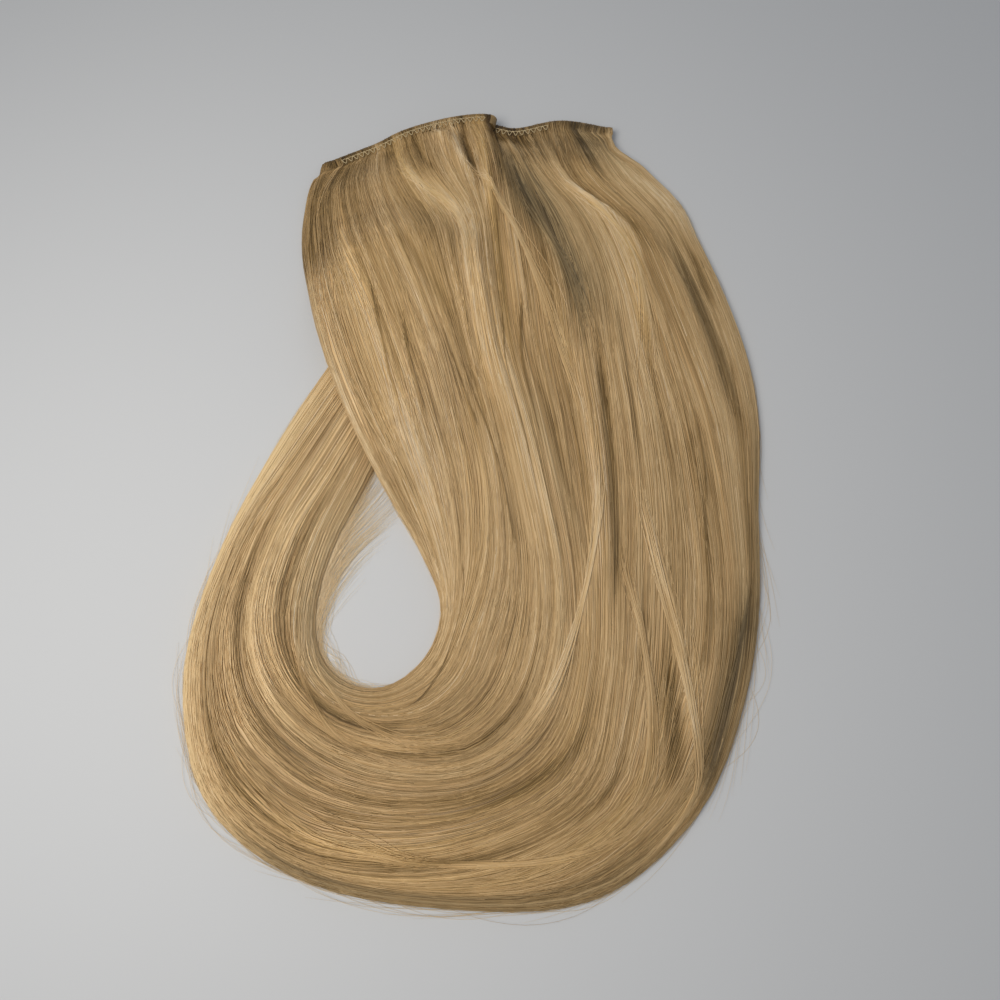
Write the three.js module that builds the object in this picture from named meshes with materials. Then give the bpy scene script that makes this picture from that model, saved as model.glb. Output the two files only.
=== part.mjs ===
// A clip-in hair extension: one folded, machine-stitched weft with two curtains of long straight hair
// and three snap clips under the weft. It lies on a flat surface, the weft at the top, and the hair runs
// down, round an open eye and back up, until its tips pass under the curtain that it started from.
// Millimetres, +Z up, origin at the middle of the footprint, on the surface that it lies on.
import * as THREE from "three";

// The laid hair, seen from above
const curlWidth = 234;
const curlLength = 337;
const pileHeight = 21;
const edgeThickness = 1.6;
const tipThickness = 1.2;
const domePower = 2.4;
const domeRise = 0.7;

// The tail end of the hair, where it passes under the curtain
const tailHeight = 7.5;
const tailClearance = 1.2;
const tailHalfWidth = 24;
const tailRamp = 26;

// Locks, as rounded ridges along the curtains
const locksPerCurtain = 4;
const lockDepth = 1.5;
const lockWander = 0.35;
const curtainGap = 0.4;

// The stitched weft band, folded on itself once
const bandWidth = 4.5;
const bandThickness = 2.4;
const bandLayerGap = 0.5;
const bandFoldBack = 16;
const seamGap = 0.3;

// The snap clips sewn under the weft
const clipLength = 30;
const clipDepth = 9.5;
const clipThickness = 1.6;
const clipCornerRadius = 3;
const clipSlotWidth = 1.5;
const clipSlotLength = 20;
const clipRimWidth = 1.5;
const clipGap = 0.3;
const clipRelease = 20;

// How finely the curved pieces are cut
const stationsPerSection = 3;
const columnsPerLock = 4;
const bandStep = 3;
const foldSteps = 6;
const widthSamples = 36;

// Sections across the hair, from the weft to the tips. Each lane is a line that the hair follows, with
// its place as shares of curlWidth and curlLength, and crown is the section's height, as a share of
// pileHeight.
const lanes = ["inner", "left", "swoop", "middle", "valley", "right", "outer"];
const sections = [
  { inner: [0.18, 0.933], left: [0.276, 0.963], swoop: [0.345, 0.98], middle: [0.49, 0.999], valley: [0.555, 0.99], right: [0.65, 1.003], outer: [0.752, 0.99], crown: 0.45 },
  { inner: [0.141, 0.872], left: [0.288, 0.905], swoop: [0.385, 0.9], middle: [0.513, 0.925], valley: [0.595, 0.908], right: [0.685, 0.905], outer: [0.835, 0.918], crown: 0.66 },
  { inner: [0.14, 0.8], left: [0.33, 0.825], swoop: [0.452, 0.825], middle: [0.527, 0.83], valley: [0.658, 0.83], right: [0.77, 0.83], outer: [0.922, 0.805], crown: 0.84 },
  { inner: [0.166, 0.725], left: [0.385, 0.73], swoop: [0.47, 0.735], middle: [0.54, 0.735], valley: [0.7, 0.735], right: [0.82, 0.73], outer: [0.962, 0.725], crown: 0.95 },
  { inner: [0.208, 0.635], left: [0.43, 0.64], swoop: [0.497, 0.64], middle: [0.557, 0.64], valley: [0.713, 0.64], right: [0.858, 0.64], outer: [0.992, 0.64], crown: 0.96 },
  { inner: [0.26, 0.55], left: [0.468, 0.548], swoop: [0.533, 0.55], middle: [0.587, 0.55], valley: [0.727, 0.55], right: [0.893, 0.55], outer: [1, 0.555], crown: 0.97 },
  { inner: [0.322, 0.468], left: [0.492, 0.462], swoop: [0.562, 0.46], middle: [0.615, 0.455], valley: [0.733, 0.45], right: [0.912, 0.445], outer: [0.984, 0.445], crown: 1 },
  { inner: [0.39, 0.388], left: [0.49, 0.375], swoop: [0.585, 0.365], middle: [0.638, 0.355], valley: [0.725, 0.345], right: [0.918, 0.33], outer: [0.97, 0.325], crown: 1 },
  { inner: [0.426, 0.325], left: [0.465, 0.31], swoop: [0.578, 0.285], middle: [0.637, 0.27], valley: [0.71, 0.23], right: [0.89, 0.22], outer: [0.932, 0.215], crown: 0.97 },
  { inner: [0.408, 0.274], left: [0.43, 0.25], swoop: [0.54, 0.215], middle: [0.592, 0.185], valley: [0.665, 0.125], right: [0.822, 0.113], outer: [0.848, 0.098], crown: 0.92 },
  { inner: [0.362, 0.241], left: [0.376, 0.222], swoop: [0.465, 0.172], middle: [0.5, 0.138], valley: [0.53, 0.07], right: [0.665, 0.028], outer: [0.68, 0.01], crown: 0.88 },
  { inner: [0.31, 0.23], left: [0.318, 0.213], swoop: [0.36, 0.168], middle: [0.36, 0.13], valley: [0.36, 0.048], right: [0.43, 0.014], outer: [0.44, 0], crown: 0.85 },
  { inner: [0.258, 0.24], left: [0.256, 0.224], swoop: [0.25, 0.192], middle: [0.235, 0.158], valley: [0.2, 0.064], right: [0.2, 0.046], outer: [0.2, 0.032], crown: 0.8 },
  { inner: [0.22, 0.268], left: [0.208, 0.26], swoop: [0.172, 0.244], middle: [0.135, 0.222], valley: [0.077, 0.135], right: [0.063, 0.121], outer: [0.05, 0.11], crown: 0.76 },
  { inner: [0.207, 0.32], left: [0.196, 0.318], swoop: [0.138, 0.312], middle: [0.1, 0.303], valley: [0.034, 0.268], right: [0.012, 0.254], outer: [-0.004, 0.245], crown: 0.7 },
  { inner: [0.232, 0.4], left: [0.221, 0.404], swoop: [0.163, 0.408], middle: [0.127, 0.41], valley: [0.075, 0.402], right: [0.052, 0.394], outer: [0.034, 0.386], crown: 0.56 },
  { inner: [0.285, 0.478], left: [0.27, 0.485], swoop: [0.225, 0.498], middle: [0.19, 0.508], valley: [0.158, 0.516], right: [0.135, 0.521], outer: [0.118, 0.524], crown: 0.34 },
  { inner: [0.34, 0.572], left: [0.326, 0.58], swoop: [0.295, 0.597], middle: [0.268, 0.61], valley: [0.245, 0.621], right: [0.224, 0.63], outer: [0.208, 0.637], crown: 0.28 },
  { inner: [0.372, 0.684], left: [0.364, 0.69], swoop: [0.348, 0.7], middle: [0.333, 0.71], valley: [0.318, 0.719], right: [0.304, 0.727], outer: [0.296, 0.731], crown: 0.1 },
];

// Where the weft is folded, as a share of the way across the lanes
const foldLane = 0.54;

// The clips' places along the two runs of the weft, as shares of the way across the lanes
const clipLanes = [0.09, 0.4, 0.86];

// The line under the curtain that the tail follows, from where it enters to its tips
const tailStart = sections.at(-3);
const tailEnd = sections.at(-1);
const tailShare = 0.75;

const hairMaterial = new THREE.MeshStandardMaterial({ color: 0xc2a374, roughness: 0.5, metalness: 0 });
const bandMaterial = new THREE.MeshStandardMaterial({ color: 0x8d7448, roughness: 0.75, metalness: 0 });
const clipMaterial = new THREE.MeshStandardMaterial({ color: 0xb49a6a, roughness: 0.4, metalness: 0.5 });

const seatHeight = clipThickness + clipGap;
const layerStep = bandThickness + bandLayerGap;

// Smooth curves along each lane, with the crown's share as a curve of its own
const laneCurves = lanes.map(
  (lane) =>
    new THREE.CatmullRomCurve3(
      sections.map((row) => new THREE.Vector3(row[lane][0] * curlWidth, row[lane][1] * curlLength, 0)),
    ),
);
const rootLine = crossLine(0);
const crownCurve = new THREE.CatmullRomCurve3(sections.map((row, k) => new THREE.Vector3(k, row.crown, 0)));

// The line across the hair at a share along it, and how much of its length lies before a share across
function crossLine(along) {
  return new THREE.CatmullRomCurve3(laneCurves.map((curve) => curve.getPoint(along)));
}

function widthShare(line, across) {
  const lengths = line.getLengths(widthSamples);
  const place = across * widthSamples;
  const before = Math.min(Math.floor(place), widthSamples - 1);
  return THREE.MathUtils.lerp(lengths[before], lengths[before + 1], place - before) / lengths.at(-1);
}

function middleOf(row) {
  return new THREE.Vector2(row.middle[0] * curlWidth, row.middle[1] * curlLength);
}

// How far the curtain's underside is lifted where it lies on the tail
function liftOverTail(point) {
  const start = middleOf(tailStart);
  const run = middleOf(tailEnd).sub(start);
  const offset = new THREE.Vector2(point.x, point.y).sub(start);
  const share = THREE.MathUtils.clamp(offset.dot(run) / run.lengthSq(), 0, 1);
  const distance = offset.sub(run.multiplyScalar(share)).length();
  const cover = 1 - THREE.MathUtils.smoothstep(distance, tailHalfWidth, tailHalfWidth + tailRamp);
  return (tailHeight + tailClearance) * cover;
}

// The height of the weft's top face at a share across it: one layer at the left end, three at the fold
function bandTop(across) {
  const layers = across > foldLane ? 1 : 1 + 2 * THREE.MathUtils.smoothstep(across, 0.12, 0.46);
  return seatHeight + bandThickness + (layers - 1) * layerStep;
}

// Underside and top of the hair at one place. A lock is a rounded ridge, and its groove falls on the
// curtain's own edges.
function heights(line, along, across, lockPlace) {
  const point = line.getPoint(across);
  const fromRoot = point.distanceTo(rootLine.getPoint(across));
  const isTail = along > tailShare;
  const lift = isTail ? 0 : liftOverTail(point);
  const overClip = 1 - THREE.MathUtils.smoothstep(fromRoot, 1.5 * clipDepth, clipDepth + clipRelease);
  const underside = Math.max(lift, seatHeight * (isTail ? 0 : overClip));

  const dome = (1 - Math.abs(2 * widthShare(line, across) - 1) ** domePower) ** domeRise;
  const crown = pileHeight * crownCurve.getPoint(along).y;
  const ridge = lockDepth * (Math.abs(Math.sin(Math.PI * lockPlace)) - 0.5) * (crown / pileHeight);
  const loose = underside + Math.max(tipThickness, edgeThickness + (crown - edgeThickness + ridge) * dome);

  const rootShare = isTail ? 0 : 1 - THREE.MathUtils.smoothstep(fromRoot, 0, clipDepth + clipRelease);
  const top = THREE.MathUtils.lerp(loose, bandTop(across), rootShare);
  return { point, across, underside, top };
}

// A curtain of hair between two shares across the lanes, as one closed solid
function curtainGeometry(from, to) {
  const stations = (sections.length - 1) * stationsPerSection;
  const columns = locksPerCurtain * columnsPerLock;
  const positions = [];
  for (let j = 0; j <= stations; j += 1) {
    const along = j / stations;
    const line = crossLine(along);
    const wander = lockWander * Math.sin(2 * Math.PI * along * 1.5);
    const places = [];
    for (let i = 0; i <= columns; i += 1) {
      const share = i / columns;
      const lockPlace = locksPerCurtain * share + wander * Math.sin(Math.PI * share);
      places.push(heights(line, along, THREE.MathUtils.lerp(from, to, share), lockPlace));
    }
    keepClear(places, from > 0, to < 1);
    startBelowBand(places, j === 0);
    for (const level of ["underside", "top"]) {
      for (const place of places) positions.push(place.point.x, place.point.y, place[level]);
    }
  }
  return closedLoft(positions, stations, columns);
}

// Draws a curtain's wall back from its neighbour's by half the gap between them
function keepClear(places, atStart, atEnd) {
  const pairs = [];
  if (atStart) pairs.push([places[0], places[1]]);
  if (atEnd) pairs.push([places.at(-1), places.at(-2)]);
  for (const [wall, next] of pairs) {
    const inward = next.point.clone().sub(wall.point).setLength(curtainGap / 2);
    wall.point.add(inward);
  }
}

// The first station lies against the weft band's lower edge, with a seam gap
function startBelowBand(places, isRoot) {
  if (!isRoot) return;
  for (const place of places) {
    const heading = rootLine.getTangent(place.across);
    const inward = new THREE.Vector3(heading.y, -heading.x, 0).setLength(bandWidth / 2 + seamGap);
    place.point.add(inward);
  }
}

// Joins stations of underside and top points into one closed surface
function closedLoft(positions, stations, columns) {
  const row = 2 * (columns + 1);
  const under = (j, i) => j * row + i;
  const over = (j, i) => j * row + columns + 1 + i;
  const index = [];
  const quad = (a, b, c, d) => index.push(a, b, c, a, c, d);
  for (let j = 0; j < stations; j += 1) {
    for (let i = 0; i < columns; i += 1) {
      quad(over(j, i), over(j + 1, i), over(j + 1, i + 1), over(j, i + 1));
      quad(under(j, i), under(j, i + 1), under(j + 1, i + 1), under(j + 1, i));
    }
    quad(under(j, 0), under(j + 1, 0), over(j + 1, 0), over(j, 0));
    quad(over(j, columns), over(j + 1, columns), under(j + 1, columns), under(j, columns));
  }
  for (let i = 0; i < columns; i += 1) {
    quad(under(0, i), over(0, i), over(0, i + 1), under(0, i + 1));
    quad(over(stations, i), under(stations, i), under(stations, i + 1), over(stations, i + 1));
  }
  const geometry = new THREE.BufferGeometry();
  geometry.setAttribute("position", new THREE.Float32BufferAttribute(positions, 3));
  geometry.setIndex(index);
  return geometry;
}

// The weft's centre line: the front run rises over the fold, turns back under itself, turns again and
// goes on as the back run. Each point has its plan direction, for the band's flat section.
function bandPath() {
  const length = rootLine.getLength();
  const step = bandStep / length;
  const at = (across, z) => {
    const point = rootLine.getPoint(across).setZ(z);
    return { point, heading: rootLine.getTangent(across).setZ(0).normalize() };
  };
  const middle = (across) => bandTop(across) - bandThickness / 2;
  const low = seatHeight + bandThickness / 2;
  const foldStart = foldLane - (bandFoldBack / length) * 1.1;
  const path = [];
  for (let across = 0; across < foldLane; across += step) path.push(at(across, middle(across)));
  path.push(...turn(at(foldLane, low + 1.5 * layerStep), 1));
  for (let across = foldLane - step; across > foldStart; across -= step) path.push(at(across, low + layerStep));
  path.push(...turn(at(foldStart, low + 0.5 * layerStep), -1));
  for (let across = foldStart + step; across < 1; across += step) path.push(at(across, low));
  path.push(at(1, low));
  return path;
}

// A half turn of the band, from one layer down to the next
function turn({ point, heading }, side) {
  const radius = layerStep / 2;
  return Array.from({ length: foldSteps + 1 }, (_, k) => {
    const angle = Math.PI * (k / foldSteps);
    const out = heading.clone().multiplyScalar(side * radius * Math.sin(angle));
    const up = new THREE.Vector3(0, 0, radius * Math.cos(angle));
    return { point: point.clone().add(out).add(up), heading };
  });
}

// The flat band swept along its path
function bandGeometry() {
  const path = bandPath();
  const half = [bandWidth / 2, bandThickness / 2];
  const corners = [[-1, -1], [1, -1], [1, 1], [-1, 1]];
  const positions = [];
  path.forEach(({ point, heading }, k) => {
    const before = path[Math.max(0, k - 1)].point;
    const after = path[Math.min(path.length - 1, k + 1)].point;
    const direction = after.clone().sub(before).normalize();
    const wide = new THREE.Vector3(-heading.y, heading.x, 0);
    const thick = direction.clone().cross(wide).normalize();
    for (const [a, b] of corners) {
      const corner = point.clone().addScaledVector(wide, a * half[0]).addScaledVector(thick, b * half[1]);
      positions.push(corner.x, corner.y, corner.z);
    }
  });
  const index = [0, 2, 1, 0, 3, 2];
  const last = 4 * (path.length - 1);
  for (let base = 0; base < last; base += 4) {
    for (let c = 0; c < 4; c += 1) {
      const next = (c + 1) % 4;
      index.push(base + c, base + 4 + next, base + 4 + c, base + c, base + next, base + 4 + next);
    }
  }
  index.push(last, last + 1, last + 2, last, last + 2, last + 3);
  const geometry = new THREE.BufferGeometry();
  geometry.setAttribute("position", new THREE.Float32BufferAttribute(positions, 3));
  geometry.setIndex(index);
  return geometry;
}

// A snap clip in its closed state, as one flat plate with rounded corners and two slots between its rims
// and its tongue
function clipGeometry() {
  const shape = roundedBar(clipLength, clipDepth, clipCornerRadius);
  const slotOffset = clipDepth / 2 - clipRimWidth - clipSlotWidth / 2;
  for (const side of [-1, 1]) {
    const slot = roundedBar(clipSlotLength, clipSlotWidth, clipSlotWidth / 2);
    const points = slot.getPoints(4).map((p) => new THREE.Vector2(p.x, p.y + side * slotOffset));
    shape.holes.push(new THREE.Path(points.reverse()));
  }
  return new THREE.ExtrudeGeometry(shape, { depth: clipThickness, bevelEnabled: false, curveSegments: 4 });
}

function roundedBar(length, depth, radius) {
  const [x, y, r] = [length / 2, depth / 2, radius];
  const shape = new THREE.Shape();
  shape.absarc(x - r, y - r, r, 0, Math.PI / 2);
  shape.absarc(r - x, y - r, r, Math.PI / 2, Math.PI);
  shape.absarc(r - x, r - y, r, Math.PI, 1.5 * Math.PI);
  shape.absarc(x - r, r - y, r, 1.5 * Math.PI, 2 * Math.PI);
  shape.closePath();
  return shape;
}

// Clips lie under the weft, their upper rim against the band's upper edge
function clipMesh(across, number) {
  const mesh = new THREE.Mesh(clipGeometry(), clipMaterial);
  const heading = rootLine.getTangent(across);
  const root = rootLine.getPoint(across);
  const inward = new THREE.Vector3(heading.y, -heading.x, 0).multiplyScalar(clipDepth / 2 - bandWidth / 2);
  mesh.name = `snap_clip_${number}`;
  mesh.position.copy(root).add(inward);
  mesh.rotation.z = Math.atan2(heading.y, heading.x);
  return mesh;
}

function named(name, geometry, material) {
  const mesh = new THREE.Mesh(geometry, material);
  mesh.name = name;
  return mesh;
}

const extension = new THREE.Group();
extension.add(named("front_hair", curtainGeometry(0, foldLane), hairMaterial));
extension.add(named("back_hair", curtainGeometry(foldLane, 1), hairMaterial));
extension.add(named("weft_band", bandGeometry(), bandMaterial));
clipLanes.forEach((across, k) => extension.add(clipMesh(across, k + 1)));

// The origin goes to the middle of the footprint
extension.updateMatrixWorld(true);
const box = new THREE.Box3().setFromObject(extension);
extension.position.set(-(box.min.x + box.max.x) / 2, -(box.min.y + box.max.y) / 2, -box.min.z);

export default extension;
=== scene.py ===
# A clip-in hair extension lying on a pale floor, its long hair curled round an open eye.
# Tables are in millimetres and shares, as in the model's own source; Blender's objects are in metres.
import math

import bpy
import numpy as np
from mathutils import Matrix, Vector


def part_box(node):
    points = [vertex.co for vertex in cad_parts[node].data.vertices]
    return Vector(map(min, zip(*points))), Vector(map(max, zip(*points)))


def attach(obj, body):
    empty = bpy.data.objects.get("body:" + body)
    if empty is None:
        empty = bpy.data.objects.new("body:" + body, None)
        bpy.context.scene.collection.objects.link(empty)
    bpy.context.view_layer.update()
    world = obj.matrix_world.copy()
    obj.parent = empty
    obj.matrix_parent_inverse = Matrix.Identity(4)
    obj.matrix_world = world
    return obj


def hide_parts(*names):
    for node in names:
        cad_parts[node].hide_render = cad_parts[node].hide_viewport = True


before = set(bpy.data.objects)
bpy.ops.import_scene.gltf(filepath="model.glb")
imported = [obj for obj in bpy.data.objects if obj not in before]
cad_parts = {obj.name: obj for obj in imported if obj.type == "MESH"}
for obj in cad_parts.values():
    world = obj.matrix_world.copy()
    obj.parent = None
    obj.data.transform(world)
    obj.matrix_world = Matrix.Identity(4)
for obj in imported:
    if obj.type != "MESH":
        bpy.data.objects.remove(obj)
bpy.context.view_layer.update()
mm = 0.001
scene = bpy.context.scene
print("frame:", ", ".join(sorted(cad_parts)))


def linear(code):
    # hex sRGB to linear colour with alpha
    parts = [int(code[k : k + 2], 16) / 255 for k in (0, 2, 4)]
    return (*(p / 12.92 if p <= 0.04045 else ((p + 0.055) / 1.055) ** 2.4 for p in parts), 1.0)


def addNode(tree, kind, inputs=None, stops=None, **settings):
    # one node with its settings; an input is a value, a socket, or a node for its first output
    made = tree.nodes.new(kind)
    for name, value in settings.items():
        setattr(made, name, value)
    for name, value in (inputs or {}).items():
        if isinstance(value, bpy.types.Node):
            value = value.outputs[0]
        if isinstance(value, bpy.types.NodeSocket):
            tree.links.new(value, made.inputs[name])
        else:
            made.inputs[name].default_value = value
    for order, (place, code) in enumerate(stops or []):
        elements = made.color_ramp.elements
        element = elements[order] if order < 2 else elements.new(place)
        element.position = place
        element.color = linear(code)
    return made


def aimAt(obj, target):
    toward = Vector(target) - obj.location
    obj.rotation_euler = toward.to_track_quat("-Z", "Y").to_euler()


# Camera, lights and floor
cameraSizes = {
    "lens": 27.04,
    "sensor": 36,
    "target": (0.0066, -0.0156, 0),
    "distance": 0.3154,
    "elevation": 75.5,
}
lightSizes = {
    "key": {"place": (-0.2, -0.08, 0.45), "size": 0.3, "watts": 1.75, "colour": "fffaf3"},
    "fill": {"place": (0.5, 0.3, 0.55), "size": 0.7, "watts": 0.25, "colour": "eef3ff"},
}
skySizes = {"colour": "eff3f9", "strength": 0.3}
floorSizes = {"side": 3.0, "colour": "cdcfd1", "roughness": 0.8}

cameraData = bpy.data.cameras.new("camera")
cameraData.lens = cameraSizes["lens"]
cameraData.sensor_width = cameraSizes["sensor"]
cameraData.clip_start = 0.01
camera = bpy.data.objects.new("camera", cameraData)
tilt = math.radians(cameraSizes["elevation"])
toCamera = Vector((0, -math.cos(tilt), math.sin(tilt)))
camera.location = Vector(cameraSizes["target"]) + cameraSizes["distance"] * toCamera
aimAt(camera, cameraSizes["target"])
scene.collection.objects.link(camera)
scene.camera = camera
scene.view_settings.view_transform = "Standard"

for lightName, facts in lightSizes.items():
    lightData = bpy.data.lights.new(lightName, "AREA")
    lightData.size = facts["size"]
    lightData.energy = facts["watts"]
    lightData.color = linear(facts["colour"])[:3]
    light = bpy.data.objects.new(lightName, lightData)
    light.location = facts["place"]
    aimAt(light, (0, 0, 0))
    scene.collection.objects.link(light)

scene.world = bpy.data.worlds.new("studio")
scene.world.use_nodes = True
sky = scene.world.node_tree.nodes["Background"]
sky.inputs["Color"].default_value = linear(skySizes["colour"])
sky.inputs["Strength"].default_value = skySizes["strength"]

half = floorSizes["side"] / 2
floorMesh = bpy.data.meshes.new("floor")
floorCorners = [(-half, -half, 0), (half, -half, 0), (half, half, 0), (-half, half, 0)]
floorMesh.from_pydata(floorCorners, [], [(0, 1, 2, 3)])
floor = bpy.data.objects.new("floor", floorMesh)
scene.collection.objects.link(floor)
floorPaint = bpy.data.materials.new("matt pale paint")
floorPaint.use_nodes = True
paintShader = floorPaint.node_tree.nodes["Principled BSDF"]
paintShader.inputs["Base Color"].default_value = linear(floorSizes["colour"])
paintShader.inputs["Roughness"].default_value = floorSizes["roughness"]
floorMesh.materials.append(floorPaint)
print("camera, lights and floor")


# The laid hair's shape, from the same sizes and table of sections as the model's source
hairSizes = {
    "curlWidth": 234,
    "curlLength": 337,
    "pileHeight": 21,
    "edgeThickness": 1.6,
    "tipThickness": 1.2,
    "domePower": 2.4,
    "domeRise": 0.7,
    "tailHeight": 7.5,
    "tailClearance": 1.2,
    "tailHalfWidth": 24,
    "tailRamp": 26,
    "tailShare": 0.75,
    "foldLane": 0.54,
    "clipThickness": 1.6,
    "clipGap": 0.3,
    "clipDepth": 9.5,
    "clipRelease": 20,
    "bandWidth": 4.5,
    "bandThickness": 2.4,
    "bandLayerGap": 0.5,
    "seamGap": 0.3,
}
# x and y shares of each lane, from the inner edge to the outer, and last the crown's share
sectionRows = [
    (0.18, 0.933, 0.276, 0.963, 0.345, 0.98, 0.49, 0.999, 0.555, 0.99, 0.65, 1.003, 0.752, 0.99, 0.45),
    (0.141, 0.872, 0.288, 0.905, 0.385, 0.9, 0.513, 0.925, 0.595, 0.908, 0.685, 0.905, 0.835, 0.918, 0.66),
    (0.14, 0.8, 0.33, 0.825, 0.452, 0.825, 0.527, 0.83, 0.658, 0.83, 0.77, 0.83, 0.922, 0.805, 0.84),
    (0.166, 0.725, 0.385, 0.73, 0.47, 0.735, 0.54, 0.735, 0.7, 0.735, 0.82, 0.73, 0.962, 0.725, 0.95),
    (0.208, 0.635, 0.43, 0.64, 0.497, 0.64, 0.557, 0.64, 0.713, 0.64, 0.858, 0.64, 0.992, 0.64, 0.96),
    (0.26, 0.55, 0.468, 0.548, 0.533, 0.55, 0.587, 0.55, 0.727, 0.55, 0.893, 0.55, 1, 0.555, 0.97),
    (0.322, 0.468, 0.492, 0.462, 0.562, 0.46, 0.615, 0.455, 0.733, 0.45, 0.912, 0.445, 0.984, 0.445, 1),
    (0.39, 0.388, 0.49, 0.375, 0.585, 0.365, 0.638, 0.355, 0.725, 0.345, 0.918, 0.33, 0.97, 0.325, 1),
    (0.426, 0.325, 0.465, 0.31, 0.578, 0.285, 0.637, 0.27, 0.71, 0.23, 0.89, 0.22, 0.932, 0.215, 0.97),
    (0.408, 0.274, 0.43, 0.25, 0.54, 0.215, 0.592, 0.185, 0.665, 0.125, 0.822, 0.113, 0.848, 0.098, 0.92),
    (0.362, 0.241, 0.376, 0.222, 0.465, 0.172, 0.5, 0.138, 0.53, 0.07, 0.665, 0.028, 0.68, 0.01, 0.88),
    (0.31, 0.23, 0.318, 0.213, 0.36, 0.168, 0.36, 0.13, 0.36, 0.048, 0.43, 0.014, 0.44, 0, 0.85),
    (0.258, 0.24, 0.256, 0.224, 0.25, 0.192, 0.235, 0.158, 0.2, 0.064, 0.2, 0.046, 0.2, 0.032, 0.8),
    (0.22, 0.268, 0.208, 0.26, 0.172, 0.244, 0.135, 0.222, 0.077, 0.135, 0.063, 0.121, 0.05, 0.11, 0.76),
    (0.207, 0.32, 0.196, 0.318, 0.138, 0.312, 0.1, 0.303, 0.034, 0.268, 0.012, 0.254, -0.004, 0.245, 0.7),
    (0.232, 0.4, 0.221, 0.404, 0.163, 0.408, 0.127, 0.41, 0.075, 0.402, 0.052, 0.394, 0.034, 0.386, 0.56),
    (0.285, 0.478, 0.27, 0.485, 0.225, 0.498, 0.19, 0.508, 0.158, 0.516, 0.135, 0.521, 0.118, 0.524, 0.34),
    (0.34, 0.572, 0.326, 0.58, 0.295, 0.597, 0.268, 0.61, 0.245, 0.621, 0.224, 0.63, 0.208, 0.637, 0.28),
    (0.372, 0.684, 0.364, 0.69, 0.348, 0.7, 0.333, 0.71, 0.318, 0.719, 0.304, 0.727, 0.296, 0.731, 0.1),
]
gridSizes = {"rowsPerSection": 8, "columns": 320, "massStep": 2, "massDepth": 0.2}
# The outer edge is drawn in below the weft's right end and swells after it, in millimetres
shoulderMoves = [
    {"along": 0.021, "radius": 14, "move": (-6, -1)},
    {"along": 0.078, "radius": 25, "move": (3.2, 0.6)},
]


def smoothCurve(points, shares):
    # centripetal Catmull-Rom through points (place, line, axis) at shares of the whole
    count = len(points)
    ends = np.concatenate([[2 * points[0] - points[1]], points, [2 * points[-1] - points[-2]]])
    place = shares * (count - 1)
    k = np.minimum(place.astype(int), count - 2)
    w = (place - k)[:, None, None]
    p0, p1, p2, p3 = (ends[k + n] for n in range(4))
    pairs = ((p0, p1), (p1, p2), (p2, p3))
    d0, d1, d2 = (np.maximum(((b - a) ** 2).sum(-1, keepdims=True) ** 0.25, 1e-4) for a, b in pairs)
    t1 = ((p1 - p0) / d0 - (p2 - p0) / (d0 + d1) + (p2 - p1) / d1) * d1
    t2 = ((p2 - p1) / d1 - (p3 - p1) / (d1 + d2) + (p3 - p2) / d2) * d1
    return p1 + t1 * w + (3 * (p2 - p1) - 2 * t1 - t2) * w**2 + (2 * (p1 - p2) + t1 + t2) * w**3


def smoothStep(x, low, high):
    t = np.clip((x - low) / (high - low), 0, 1)
    return t * t * (3 - 2 * t)


def latticeNoise(acrossPlace, alongPlace, acrossCells, alongCells, seed):
    # smooth noise from -1 to 1 with that many cells across and along the hair
    values = np.random.default_rng(seed).uniform(-1, 1, (alongCells + 3, acrossCells + 3))
    x, y = np.clip(acrossPlace, 0, 1) * acrossCells, np.clip(alongPlace, 0, 1) * alongCells
    i, j = x.astype(int), y.astype(int)
    fx, fy = smoothStep(x - i, 0, 1), smoothStep(y - j, 0, 1)
    low = values[j, i] * (1 - fx) + values[j, i + 1] * fx
    high = values[j + 1, i] * (1 - fx) + values[j + 1, i + 1] * fx
    return low * (1 - fy) + high * fy


size = hairSizes
table = np.array(sectionRows)
lanePoints = table[:, :-1].reshape(len(table), -1, 2) * (size["curlWidth"], size["curlLength"])
crownPoints = np.stack([np.arange(len(table)), table[:, -1]], -1)[:, None]
rowCount = gridSizes["rowsPerSection"] * (len(table) - 1)
along = np.linspace(0, 1, rowCount + 1)
across = np.linspace(0, 1, gridSizes["columns"] + 1)
laneLines = smoothCurve(lanePoints, along)
plan = smoothCurve(laneLines.transpose(1, 0, 2), across).transpose(1, 0, 2)
acrossGrid, alongGrid = np.meshgrid(across, along)

# distances across the hair in millimetres, at each place of the grid
steps = np.linalg.norm(np.diff(plan, axis=1), axis=2)
distance = np.concatenate([np.zeros((rowCount + 1, 1)), np.cumsum(steps, axis=1)], axis=1)
widthShare = distance / distance[:, -1:]
fromRoot = np.linalg.norm(plan - plan[:1], axis=2)


def liftOverTail(points):
    start, end = lanePoints[-3, 3], lanePoints[-1, 3]
    run = end - start
    share = np.clip(((points - start) @ run) / (run @ run), 0, 1)
    away = np.linalg.norm(points - start - share[..., None] * run, axis=-1)
    cover = 1 - smoothStep(away, size["tailHalfWidth"], size["tailHalfWidth"] + size["tailRamp"])
    return (size["tailHeight"] + size["tailClearance"]) * cover


def bandTop(share):
    layers = np.where(share > size["foldLane"], 1, 1 + 2 * smoothStep(share, 0.12, 0.46))
    seat = size["clipThickness"] + size["clipGap"]
    return seat + size["bandThickness"] + (layers - 1) * (size["bandThickness"] + size["bandLayerGap"])


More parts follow.
